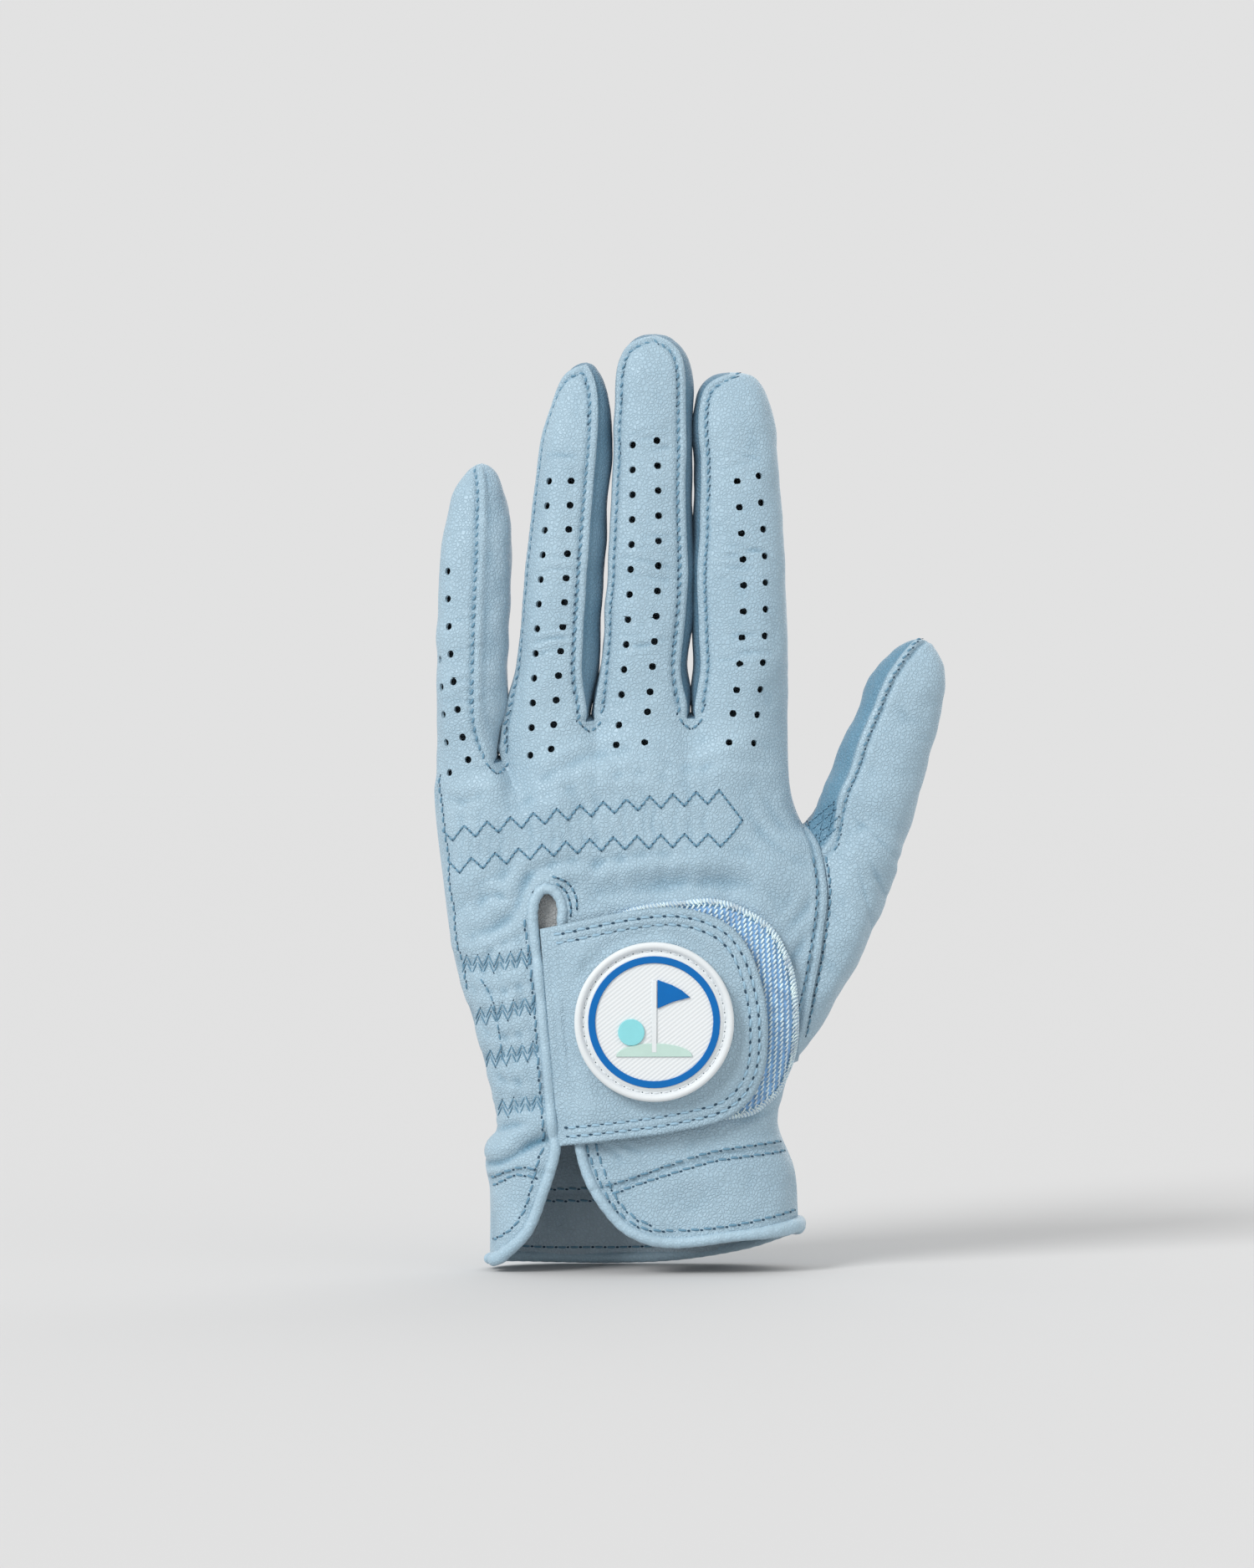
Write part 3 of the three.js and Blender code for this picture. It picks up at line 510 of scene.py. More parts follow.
def hand_sheet(side):
    back = side == "back"
    right_end = back_right if back else palm_right
    depth = back_y if back else palm_y
    blocks = hand_columns(side, right_end)
    web = []
    top_y = []
    for k, b in enumerate(blocks):
        web.append(b["web"])
        top_y.append(b["tops"][:, 1])
        if k < 3:
            web.append(np.linspace(b["web"][-1], blocks[k + 1]["web"][0], GAP_COLUMNS + 2)[1:-1])
            top_y.append(np.linspace(b["tops"][-1, 1], blocks[k + 1]["tops"][0, 1], GAP_COLUMNS + 2)[1:-1])
    web = np.concatenate(web)
    top_y = np.concatenate(top_y)
    for _ in range(14):
        top_y[1:-1] = (top_y[:-2] + 2 * top_y[1:-1] + top_y[2:]) / 4
    first = BACK_COLUMNS
    number = np.arange(len(web))
    in_gap = (number >= first) & (number < first + GAP_COLUMNS)

    def x_at(z):
        """Every column's place at its own height z (last axis: columns)."""
        if not back:
            share = (web - web[0]) / (web[-1] - web[0])
            return lerp(left_side(z), palm_right(z), share)
        trim = 1.5 * (1 - smooth(z, 24, 33))
        share = (web - web[0]) / (web[first - 1] - web[0])
        left = lerp(left_side(z), slit_middle(z) - slit_half(z) - trim, share)
        a, b = web[first + GAP_COLUMNS], web[-1]
        right = lerp(slit_middle(z) + slit_half(z) + trim, back_right(z), (web - a) / (b - a))
        within = (web - web[first - 1]) / (a - web[first - 1])
        gap = slit_middle(z) + slit_half(z) * (2 * within - 1)
        return np.where(number < first, left, np.where(in_gap, gap, right))

    def bottom(x):
        if not back:
            return hem_palm(x)
        return np.where(number < first + 1, hem_left(x), hem_right(x))

    top = web_line(web)
    rows = 216
    share = np.linspace(0, 1, rows)[:, None]
    x = np.broadcast_to(web, (rows, len(web))).copy()
    for _ in range(8):
        z = lerp(bottom(x[:1]), top, share)
        x = x_at(z)
    z = lerp(bottom(x[:1]), top, share)
    turn = 0.8 * smooth(z, top - 16, top)
    y = lerp(depth(x, z), top_y, turn)
    keep = np.ones((rows - 1, len(web) - 1), bool)
    if back:
        gap_cells = (np.arange(len(web) - 1) >= first - 1) & (np.arange(len(web) - 1) < first + GAP_COLUMNS)
        keep = ~(gap_cells[None, :] & (z[:-1, :-1] < KEYHOLE_TOP))
    return np.stack([x, y, z], axis=-1), keep


# Elastic rows: the two zigzags over the knuckles, and the four at the wrist.
knuckle_top = curve([(-50, 103.4), (-45, 104.2), (-17, 109.2), (0, 111.4), (12, 112.5), (18, 113)])
knuckle_low = curve([(-46, 96.1), (-43.5, 96.5), (-27, 99.7), (-12, 101.5), (0, 102.2), (10, 102.6), (18, 102.6)])
WRIST_ROWS = [
    [(-44, 72.9), (-36, 73.4), (-27, 74.9)],
    [(-40.8, 60.3), (-34, 61.8), (-26.2, 64)],
    [(-38.4, 50.3), (-32, 51.6), (-25.6, 53)],
    [(-35.6, 38.4), (-30, 39.6), (-24.6, 40.4)],
]
wrist_curves = [curve(row) for row in WRIST_ROWS]


FOLDS = [  # (points of the fold, depth, width) of the back's creases
    ([(-43.3, 79.4), (-35.8, 81.9), (-31, 86.4), (-29.2, 92), (-25, 96), (-18, 97.6), (-11, 97.4)], 0.75, 1.5),
    ([(-41, 87), (-36.5, 89.6), (-31.5, 88)], 0.45, 1.2),
    ([(-45.4, 85), (-42, 88.6), (-37, 93), (-31, 96.6)], 0.3, 1.6),
    ([(-17.4, 91.6), (-12, 96.6), (-2, 99), (10, 99.2)], 0.35, 1.5),
    ([(-13, 90), (0, 91.6), (12, 92.6), (24, 91.8), (33, 88)], 0.95, 2.3),
    ([(-38, 75.4), (-34, 78.4), (-30.6, 79.4)], 0.4, 1.2),
    ([(32, 70.6), (35.4, 75.6), (38.4, 80.4)], 0.5, 1.3),
    ([(34, 82), (37.6, 86), (39.6, 90)], 0.45, 1.3),
    ([(27, 40), (31, 46), (34.4, 52)], 0.6, 1.4),
    ([(20, 35.6), (26, 37), (31, 38.6)], 0.5, 1.2),
    ([(-11.6, 31.4), (-8, 29), (-5, 25.4)], 0.4, 0.9),
    ([(-7.4, 31.6), (-3.8, 29.6), (0, 28.6)], 0.3, 0.9),
    ([(-27.6, 115.6), (-20, 119.6), (-13, 122.6), (-4, 124)], 0.42, 1.5),
    ([(-33, 110), (-25, 113), (-17, 114.8)], 0.22, 1.2),
    ([(4, 121), (12, 119.6), (20, 121.4), (30, 120.6)], 0.25, 1.3),
    ([(-10, 117.4), (-2, 118.6), (5, 117)], 0.2, 1.2),
    ([(24, 109), (29, 103), (34, 99.4), (38, 98)], 0.4, 1.6),
    ([(28, 113), (31.4, 107), (35, 103.4)], 0.3, 1.3),
    ([(-48, 113), (-43, 112), (-38, 113.6)], 0.28, 1.2),
    ([(-36, 47), (-32, 45.4), (-27, 45.8)], 0.3, 1.1),
    ([(-38, 57.4), (-33, 56), (-27, 57.4)], 0.3, 1.1),
    ([(-41, 67.6), (-35, 66.4), (-28, 69)], 0.3, 1.1),
    ([(-36.6, 33), (-31, 35), (-25, 35.4)], 0.45, 1.0),
]


def fold_relief(x, z, folds):
    """Creases with raised shoulders along smooth lines, fading out at their ends."""
    h = np.zeros(np.shape(x))
    for points, depth, width in folds:
        line = smooth_path(points, 0.7)
        fade = np.sin(np.pi * np.linspace(0.03, 0.97, len(line))) ** 0.6
        nearest, strength = np.full(h.shape, 1e9), np.zeros(h.shape)
        for (px, pz), share in zip(line, fade):
            away = (x - px) ** 2 + (z - pz) ** 2
            closer = away < nearest
            nearest[closer], strength[closer] = away[closer], share
        away = np.sqrt(nearest)
        h += strength * depth * (0.45 * bell(away, 2.1 * width, width) - bell(away, 0, width))
    return h


def back_relief(x, z):
    """How far the back's leather stands out of the CAD surface, in mm."""
    h = ripple(x, z, 3, (26, 15), 0.5) + ripple(x * 1.4, z, 5, (9, 6), 0.06)
    # gathers between and beside the knuckle rows
    low, top = knuckle_low(x), knuckle_top(x)
    band = smooth(z, low - 4, low + 1) * (1 - smooth(z, top - 1, top + 5))
    band = band * smooth(x, -49, -44) * (1 - smooth(x, 12, 19))
    pleat = np.sin(2 * math.pi * (x + 0.35 * np.sin(z * 0.9) + 0.9 * np.sin(x * 0.31)) / 2.75)
    h = h + band * (0.13 * pleat * (0.5 + 0.5 * np.sin(x * 0.43 + 1) ** 2) - 0.12)
    beyond = bell(z, top + 6, 5) + bell(z, low - 6, 5)
    wave = np.sin(2 * math.pi * (x + 0.5 * np.sin(z * 0.5)) / 5.4)
    h = h + 0.12 * beyond * wave * smooth(x, -49, -42) * (1 - smooth(x, 10, 18))
    # knuckle swellings
    for mx, mz in ((-41, 116), (-22, 122), (-1, 124), (22, 124)):
        h = h + 0.7 * np.exp(-(((x - mx) / 8) ** 2) - ((z - mz) / 10) ** 2)
    # wrist gathers left of the slit
    here = (1 - smooth(x, -25.5, -23.5)) * smooth(z, 33, 39) * (1 - smooth(z, 76, 82))
    for row in wrist_curves:
        away = z - row(x)
        h = h - here * 0.6 * bell(away, 0, 2.6)
    wave = np.sin(2 * math.pi * (x + 0.8 * np.sin(z * 0.55)) / 3.7)
    h = h + here * (0.45 + 0.15 * wave * smooth(x, -46, -40))
    h = h + fold_relief(x, z, FOLDS)
    # the leather folds over itself at the wrist, above the left flap
    fold = curve([(-38, 26), (-34, 26.8), (-26, 31.6), (-20, 33)])
    away = z - fold(x)
    left = 1 - smooth(x, -24, -20)
    h = h + left * (1.3 * bell(away, 3.4, 3.2) - 1.1 * bell(away, -0.4, 1.2))
    # the cuff band is sewn under the hand's leather
    seam = np.where(x < slit_middle(22), cuff_left(x), cuff_right(x))
    h = h - 0.45 * (1 - smooth(z, seam - 0.4, seam + 0.1)) + 0.12 * bell(z, seam + 0.8, 0.8)
    h = h + 0.35 * bell(z, seam - 5, 4.2)
    return h


PALM_FOLDS = [
    ([(26, 105), (14, 107), (2, 104), (-12, 98), (-24, 90), (-34, 86)], 0.32, 1.5),
    ([(22, 101), (13, 96), (6, 87), (2, 76), (1, 64), (3, 52)], 0.4, 1.7),
    ([(-46, 99), (-37, 101), (-26, 108), (-15, 115)], 0.3, 1.4),
    ([(-42, 60), (-34, 64), (-27, 70)], 0.22, 1.2),
    ([(20, 62), (13, 58), (4, 56)], 0.2, 1.1),
    ([(-40, 42), (-25, 40), (-8, 43), (8, 40), (24, 44)], 0.34, 1.4),
    ([(-36, 34), (-20, 35.6), (-2, 33.4), (16, 35.4), (28, 34)], 0.3, 1.2),
    ([(-30, 27), (-14, 28.4), (4, 26.6), (22, 28)], 0.22, 1.1),
    ([(-20, 80), (-14, 88), (-6, 94)], 0.16, 1.0),
    ([(12, 112), (20, 117), (29, 118)], 0.2, 1.1),
]


def palm_relief(x, z):
    h = ripple(x, z, 11, (28, 16), 0.5) + ripple(x, z * 1.3, 12, (9, 6), 0.06)
    h = h + fold_relief(x, z, PALM_FOLDS)
    for mx, mz, wide, tall, depth in ((18, 78, 15, 24, 1.0), (-30, 66, 13, 24, 0.9), (-10, 112, 34, 8, 0.7)):
        h = h + depth * np.exp(-(((x - mx) / wide) ** 2) - ((z - mz) / tall) ** 2)
    h = h - 0.45 * (1 - smooth(z, 16.1, 16.6)) + 0.12 * bell(z, 17.3, 0.8)
    return h


SKINS = {}  # name: (points, faces, normals) of each outer surface, for stitches to lie on


SEAM_INSET = 1.9  # from a raised edge to its stitches, in mm


def ridge(distance):
    """A sewn edge: the leather stands up at its raw edge and is pulled down along the stitches."""
    raised = 0.6 * (1 - smooth(distance, SEAM_INSET - 0.9, SEAM_INSET - 0.2))
    return raised - 0.26 * bell(distance, SEAM_INSET, 0.4) + 0.14 * bell(distance, SEAM_INSET + 1.4, 0.8)


def creases(height, passes=10):
    """How far each point of a grid lies below the leather around it, from 0 to 1: how much painted shade darkens it
    there.
    """
    around = height
    for _ in range(passes):
        around = (around + np.roll(around, 1, 1) + np.roll(around, -1, 1)) / 3
        ends = np.concatenate([around[:1], around, around[-1:]])
        around = (ends[:-2] + 2 * ends[1:-1] + ends[2:]) / 4
    return np.clip((around - height - 0.03) / 0.75, 0, 1)


def edge_distance(points, column):
    return np.linalg.norm(points - points[:, [column]], axis=-1)


HAND = {}
for side, relief in (("back", back_relief), ("palm", palm_relief)):
    grid, keep = hand_sheet(side)
    rows, columns = grid.shape[:2]
    flat = grid.reshape(-1, 3)
    faces = outwards(flat, grid_faces(rows, columns, keep=keep), np.array([0, 0, 70.0]))
    normals = vertex_normals(flat, faces).reshape(grid.shape)
    # at the hand's sides both sheets face straight out
    x, z = grid[..., 0], grid[..., 2]
    normals[:, 0] = (-1, 0, 0)
    out_right = (z[:, -1] < THUMB_LOW) | (z[:, -1] > THUMB_HIGH)
    normals[out_right, -1] = (1, 0, 0)
    height = relief(x, z)
    left_edge = edge_distance(grid, 0)
    right_edge = edge_distance(grid, -1)
    near_side = smooth(left_edge, 0, 3) * np.where(out_right[:, None], smooth(right_edge, 0, 3), 1)
    near_web = 1 - smooth(z, web_line(x) - 6, web_line(x))
    height = height * near_side * near_web
    if side == "back":
        height = height + ridge(left_edge) * smooth(z, 60, 70) * (1 - smooth(z, 114, 119)) * (left_edge < 4)
    height = height + ridge(right_edge) * (~out_right)[:, None] * (right_edge < 4)
    solid_grid = grid + normals * height[..., None]
    normals = vertex_normals(solid_grid.reshape(-1, 3), faces).reshape(grid.shape)
    HAND[side] = dict(grid=solid_grid, faces=faces, crease=creases(height), normals=normals)


# ------------------------------------------------------------------ perforations, as (place along, place across) rows
def hole_rows(start, end, count, lean=0.0):
    start, end = np.array(start, float), np.array(end, float)
    return [lerp(start, end, t) + [lean * math.sin(t * math.pi), 0] for t in np.arange(count) / (count - 1)]


HOLES = (
    hole_rows((21.6, 187.9), (19.6, 125.8), 11, 2.4) + hole_rows((26.8, 189.2), (25.6, 125.6), 11, 2.2)
    + hole_rows((-3.3, 196.6), (-7.2, 125.2), 13, 1.2) + hole_rows((2.5, 197.6), (-0.4, 125.8), 13, 1.6)
    + hole_rows((-23.2, 188), (-27.6, 123.4), 12, -0.4) + hole_rows((-17.9, 188), (-22.6, 124.2), 12, 0.6)
    + hole_rows((-47.4, 166.6), (-42.4, 120.4), 8, -1.4) + hole_rows((-49.2, 145.6), (-46.9, 119.2), 5, -0.3)
)
HOLE_RADIUS = 0.88
WEB_CLEAR = 1.5  # holes keep this far from the line where the fingers join the hand
for p in HOLES:
    above = p[1] - float(web_line(p[0]))
    if abs(above) < WEB_CLEAR:
        p[1] += math.copysign(WEB_CLEAR, above) - above


def front_hits(points, faces, places):
    """Where lines along Y from the front first meet a sheet, and its outward normals there."""
    tree = surface_tree(points, faces)
    found = []
    for x, z in places:
        hit, normal, _, _ = tree.ray_cast(Vector((x, -60, z)), Vector((0, 1, 0)), 200)
        if hit is not None and hit.y < 2:
            normal = np.array(normal)
            found.append((np.array(hit), normal if normal[1] < 0 else -normal))
    return found


def leather_piece(name, points, faces, materials, slots=None, wall=LEATHER, holes=(), crease=None, shading=None):
    """A leather sheet with its inner side, which takes the last material. slots numbers the outer faces.

    crease sets how much painted shade darkens each point (its depth in a fold, and on the thumb the shaded strip
    beside its seam), and shading the normals of the whole surface it is cut from.
    """
    if len(holes):
        points, faces, alive = punch(points, faces, holes, HOLE_RADIUS)
        slots = None if slots is None else slots[alive]
    normals = vertex_normals(points, faces) if shading is None else shading
    crease = np.zeros(len(points)) if crease is None else crease
    used = np.unique(faces)
    rename = np.full(len(points), -1)
    rename[used] = np.arange(len(used))
    points, faces, normals, crease = points[used], rename[faces], normals[used], crease[used]
    SKINS[name] = (points, faces, normals)
    solid, quads, inside = thicken(points, faces, normals, wall)
    corners = np.zeros((len(quads), 4, 3))
    corners[: len(faces)] = normals[faces]
    outer = np.zeros(len(faces), int) if slots is None else slots
    every = np.zeros(len(quads), int)
    every[: len(faces)] = outer
    every[inside] = len(materials) - 1
    return mesh(name, solid, quads, materials, every, {"crease": np.tile(crease, 2)}, corners.reshape(-1, 3))


# ------------------------------------------------------------------ the hand's back and palm
def hand_piece(side, name, material):
    h = HAND[side]
    flat = h["grid"].reshape(-1, 3)
    holes = []
    if side == "back":
        low = [p for p in HOLES if p[1] < float(web_line(p[0]))]
        holes = front_hits(flat, h["faces"], low)
    piece = leather_piece(name, flat, h["faces"], [material, INSIDE], holes=holes, crease=h["crease"].ravel(),
                          shading=h["normals"].reshape(-1, 3))
    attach(piece, "hand")
    return piece


hand_back = hand_piece("back", "hand_back_leather", BACK)
hand_palm = hand_piece("palm", "hand_palm_leather", PALM)
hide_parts("back_panel", "cuff_back_left", "cuff_back_right")
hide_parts("palm_panel", "cuff_palm")


# ------------------------------------------------------------------ fingers
SIDE_COLUMNS = 16


def has_seam(f, side):
    return f[side][0] != f[side][1]


def seam_angles(f, s):
    """The angles of the right seam's back and palm edges, and the left seam's, at each s."""
    s = np.asarray(s, float)
    arch = np.clip((s - (f["length"] - f["dome"] * 0.62)) / (f["dome"] * 0.62 - 0.6), 0, 1) ** 6
    right_back = lerp(float(f["right"][0]), 90.0, arch * has_seam(f, "right"))
    left_back = lerp(float(f["left"][0]), 90.0, arch * has_seam(f, "left"))
    right_palm = np.full(s.shape, float(f["right"][1]))
    left_palm = np.full(s.shape, float(f["left"][1]))
    return right_back, right_palm, left_back, left_palm


def finger_surface(k, f):
    """The whole stall as a closed tube: rows from the web line to the tip, columns round it."""
    tip_rows = f["shoulder"] + f["dome"] * np.sin(np.linspace(0, math.pi / 2 - 0.045, 44))[1:]
    straight = np.linspace(START, f["shoulder"], int((f["shoulder"] - START) / ROW))
    s = np.concatenate([straight, tip_rows])
    right_back, right_palm, left_back, left_palm = (a[:, None] for a in seam_angles(f, s))
    fraction = np.linspace(0, 1, BACK_COLUMNS)
    inner = np.linspace(0, 1, SIDE_COLUMNS + 2)[1:-1]
    parts = [("back", lerp(left_back, right_back, fraction))]
    has_right, has_left = has_seam(f, "right"), has_seam(f, "left")
    if has_right:
        parts.append(("side", lerp(right_back, right_palm, inner)))
    palm = lerp(left_palm, right_palm + 360, fraction)[:, ::-1] - 360
    parts.append(("palm", palm if has_right else palm[:, 1:]))
    if has_left:
        parts.append(("side", lerp(left_palm, left_back, inner)))
    else:
        parts[-1] = ("palm", parts[-1][1][:, :-1])
    angles = np.concatenate([p[1] for p in parts], axis=1)
    kinds = sum(([p[0]] * p[1].shape[1] for p in parts), [])
    upper = finger_point(f, np.broadcast_to(s[:, None], angles.shape), angles)

    # the foot: where each column meets the hand's sheets or the crotches
    back, palm_side = HAND["back"], HAND["palm"]
    start = k * (BACK_COLUMNS + GAP_COLUMNS)
    span = slice(start, start + BACK_COLUMNS)
    back_foot, back_below = back["grid"][-1, span], back["grid"][-4, span]
    palm_foot, palm_below = palm_side["grid"][-1, span][::-1], palm_side["grid"][-4, span][::-1]
    down = np.array([0, 0, -3 * ROW])
    feet, lean = [], []
    for index, (kind, _) in enumerate(parts):
        if kind == "back":
            feet.append(back_foot)
            lean.append(back_foot - back_below)
        elif kind == "palm":
            cut = slice(0 if has_right else 1, None if has_left else -1)
            feet.append(palm_foot[cut])
            lean.append((palm_foot - palm_below)[cut])
        else:
            on_right = index == 1
            a0 = back_foot[-1] if on_right else palm_foot[-1]
            a1 = palm_foot[0] if on_right else back_foot[0]
            feet.append(a0 + (a1 - a0) * inner[:, None])
            lean.append(np.broadcast_to(-down, (SIDE_COLUMNS, 3)))
    foot = np.concatenate(feet)
    tangent0 = unit(np.concatenate(lean))
    tangent1 = unit(upper[1] - upper[0])
    distance = np.linalg.norm(upper[0] - foot, axis=1, keepdims=True)
    count = int(distance.max() / ROW) + 1
    t = np.linspace(0, 1, count, endpoint=False)[:, None, None]
    lower = (
        foot * (1 + 2 * t) * (1 - t) ** 2
        + tangent0 * distance * t * (1 - t) ** 2
        + upper[0] * t * t * (3 - 2 * t)
        + tangent1 * distance * t * t * (t - 1)
    )
    swell = (smooth(t, 0, 0.12) * (1 - smooth(t, 0.35, 1)))[..., 0] * NOTCH * 0.95
    around = 0
    for index, (kind, a) in enumerate(parts):
        width = a.shape[1]
        if kind == "side":
            outward = 1 if index == 1 else -1
            lower[:, around : around + width, 0] += outward * swell * np.sin(np.pi * inner) ** 0.5
        around += width
    along = np.concatenate([np.linspace(-1, 0, count, endpoint=False), s])
    return np.concatenate([lower, upper]), np.array(kinds), along


def panel_distance(grid, kinds, kind):
    """The columns of a finger's back or palm panel, and each point's distance from the panel's sewn edges."""
    columns = len(kinds)
    own = np.where(kinds == kind)[0]
    seams = [i for i in own if "side" in (kinds[i - 1], kinds[(i + 1) % columns])]
    if not seams:
        return own, None
    edge = np.concatenate([grid[:, i] for i in seams])
    away = np.stack([np.sqrt(((grid[:, [a]] - edge[None]) ** 2).sum(-1).min(axis=1)) for a in own], axis=1)
    return own, away


def wrinkles(f, seed):
    """Short fine creases across the finger at its two joints."""
    draw = np.random.default_rng(seed)
    found = []
    for share, count, spread in ((0.38, 8, 5.5), (0.7, 4, 3), (0.16, 5, 5)):
        for _ in range(count):
            middle = f["origin"] + f["along"] * (share * f["length"] + draw.uniform(-spread, spread))
            reach, tilt = draw.uniform(2.5, 6.5), draw.uniform(-0.25, 0.25)
            x = middle[0] + draw.uniform(-4, 4)
            points = [(x + q * reach, middle[2] + q * tilt * reach + 0.5 * math.cos(q * 1.5)) for q in (-1, 0, 1)]
            found.append((points, draw.uniform(0.08, 0.2), draw.uniform(0.4, 0.75)))
    return found


def finger_relief(f, grid, kinds, seed, s):
    """Raised sewn edges along the seams, and the leather's unevenness."""
    rows, columns = grid.shape[:2]
    height = np.zeros((rows, columns))
    x, y, z = grid[..., 0], grid[..., 1], grid[..., 2]
    height += ripple(x + y, z, seed, (19, 12), 0.24) + ripple(x - y, z, seed + 1, (6, 4), 0.025)
    for kind in ("back", "palm"):
        own, away = panel_distance(grid, kinds, kind)
        if away is None:
            continue
        reach = 4 if kind == "back" else 12
        loss = 0.5 if kind == "back" else 1
        fade = (1 - loss * smooth(s, f["length"] - reach, f["length"] - 0.5))[:, None]
        puckers = 0.07 * np.sin(2 * math.pi * z[:, own] / 2.3) * bell(away, SEAM_INSET, 1.3)
        height[:, own] += ridge(away) * fade + puckers
    height += fold_relief(x, z, wrinkles(f, seed)) * (kinds == "back")
    height *= 1 - smooth(s, f["length"] - 1.6, f["length"] - 0.2)[:, None]
    return height


STITCH_LINES = []  # (digit, height where it is split in two, points, normals) of every seam line


def seam_line(grid, normals, away, edge):
    """The points SEAM_INSET in from a panel's edge, one for each row that is wide enough, and their normals."""
    beyond = away > SEAM_INSET
    half = len(edge) / 2
    rows = np.array([r for r in range(2, len(grid)) if beyond[r].any() and beyond[r].argmax() <= half])
    column = beyond[rows].argmax(axis=1)
    before = np.maximum(column - 1, 0)
    low, high = away[rows, before], away[rows, column]
    share = np.clip((SEAM_INSET - low) / np.maximum(high - low, 1e-6), 0, 1)[:, None]
    line = lerp(grid[rows, edge[before]], grid[rows, edge[column]], share)
    for _ in range(8):
        line[1:-1] = (line[:-2] + 2 * line[1:-1] + line[2:]) / 4
    return line, normals[rows, edge[column]]


def finger_pieces(k, f):
    grid, kinds, s = finger_surface(k, f)
    rows, columns = grid.shape[:2]
    flat = grid.reshape(-1, 3)
    centre = finger_middle(f, f["length"] * 0.4)
    faces = outwards(flat, grid_faces(rows, columns, closed=True), centre)
    normals = vertex_normals(flat, faces).reshape(grid.shape)
    height = finger_relief(f, grid, kinds, 20 + k * 7, s)
    height = height * smooth(np.arange(rows), 0, 9)[:, None]
    grid = grid + normals * height[..., None]
    crease = creases(height)
    tip_ring = grid[-1].mean(axis=0) + f["along"] * 0.12
    grid = np.concatenate([grid, lerp(grid[-1:], tip_ring, 0.97)])
    crease = np.concatenate([crease, crease[-1:]]).ravel()
    rows += 1
    s = np.append(s, s[-1] + 0.3)
    flat = grid.reshape(-1, 3)
    faces = outwards(flat, grid_faces(rows, columns, closed=True), centre)
    shading = vertex_normals(flat, faces).reshape(grid.shape)
    start = k * (BACK_COLUMNS + GAP_COLUMNS)
    own = slice(start, start + BACK_COLUMNS)
    shading[0, kinds == "back"] = HAND["back"]["normals"][-1, own]
    foot_normals = HAND["palm"]["normals"][-1, own][::-1]
    width = (kinds == "palm").sum()
    shading[0, kinds == "palm"] = foot_normals[:width] if k == 0 else foot_normals[-width:]
    fine = shading
    shading = shading.reshape(-1, 3)
    slots = np.where((kinds == "side") | (np.roll(kinds, -1) == "side"), 1, np.where(kinds == "palm", 2, 0))
    split = int(np.searchsorted(s, 0.21 * f["length"]))
    middle_x = float(np.mean(grid[split, :, 0]))
    places = [p for p in HOLES if abs(p[0] - middle_x) < 13 and p[1] > float(web_line(p[0]))]
    holes = front_hits(flat, faces, places)
    z_split = finger_middle(f, float(s[split]))[2]
    pieces = []
    for part, first, last in (("root", 0, split), ("end", split, rows - 1)):
        quads = faces.reshape(rows - 1, columns, 4)[first:last].reshape(-1, 4)
        # slot 1 is painted shade on the fourchettes: the darker side leather, except on the little finger, which
        # takes the palm's.
        materials = [BACK, PALM if k == 0 else SHADED_SIDE, PALM, INSIDE]
        pieces.append(leather_piece(f"{f['name']}_{part}_leather", flat, quads, materials,
                                    np.tile(slots, last - first), holes=holes, crease=crease, shading=shading))
    # seam lines for the stitches, inside each raised edge, over the tip where both sides are sewn
    for kind in ("back", "palm"):
        own, away = panel_distance(grid, kinds, kind)
        if away is None:
            continue
        lines = []
        for order in (1, -1):
            edge = own[::order]
            if "side" not in (kinds[edge[0] - 1], kinds[(edge[0] + 1) % columns]):
                continue
            last = rows - 2 if kind == "back" else int(np.searchsorted(s, f["length"] - 3))
            lines.append(seam_line(grid[:last], fine[:last], away[:last, ::order], edge))
        line, facing = lines[0]
        if len(lines) == 2:
            line, facing = (np.concatenate([a, b[::-1]]) for a, b in zip(lines[0], lines[1]))
        STITCH_LINES.append((f["name"], z_split, line, facing))
    return pieces


def bend_root(piece, f):
    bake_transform(piece)


def bend_end(piece, f):
    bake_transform(piece)


for k, f in enumerate(FINGERS):
    root, end = finger_pieces(k, f)
    bend_root(root, f)
    bend_end(end, f)
    name = f["name"]
    sides = [side for side in ("right", "left") if has_seam(f, side)]
    for piece, part in ((root, "lower"), (end, "upper")):
        strips = [f"{name}_{part}_fourchette_{side}" for side in sides]
        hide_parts(f"{name}_{part}_back", f"{name}_{part}_palm", *strips)

# ------------------------------------------------------------------ crotches between the fingers
for k in range(3):
    a, b = FINGERS[k]["name"], FINGERS[k + 1]["name"]
    column = k * (BACK_COLUMNS + GAP_COLUMNS) + BACK_COLUMNS - 1
    front = HAND["back"]["grid"][-1, column : column + GAP_COLUMNS + 2]
    rear = HAND["palm"]["grid"][-1, column : column + GAP_COLUMNS + 2]
    t = np.linspace(0, 1, 14)[:, None, None]
    floor = lerp(front, rear, t)
    floor[..., 2] += 1.7 * np.sin(np.pi * t[..., 0])
    flat = floor.reshape(-1, 3)
    faces = outwards(flat, grid_faces(*floor.shape[:2]), flat.mean(axis=0) - [0, 0, 9])
    # The crotch takes the darker side leather: painted shade.
    web = leather_piece(f"web_{a}_{b}_leather", flat, faces, [SHADED_SIDE, INSIDE])
    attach(web, "hand")
    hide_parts(f"web_{a}_{b}")

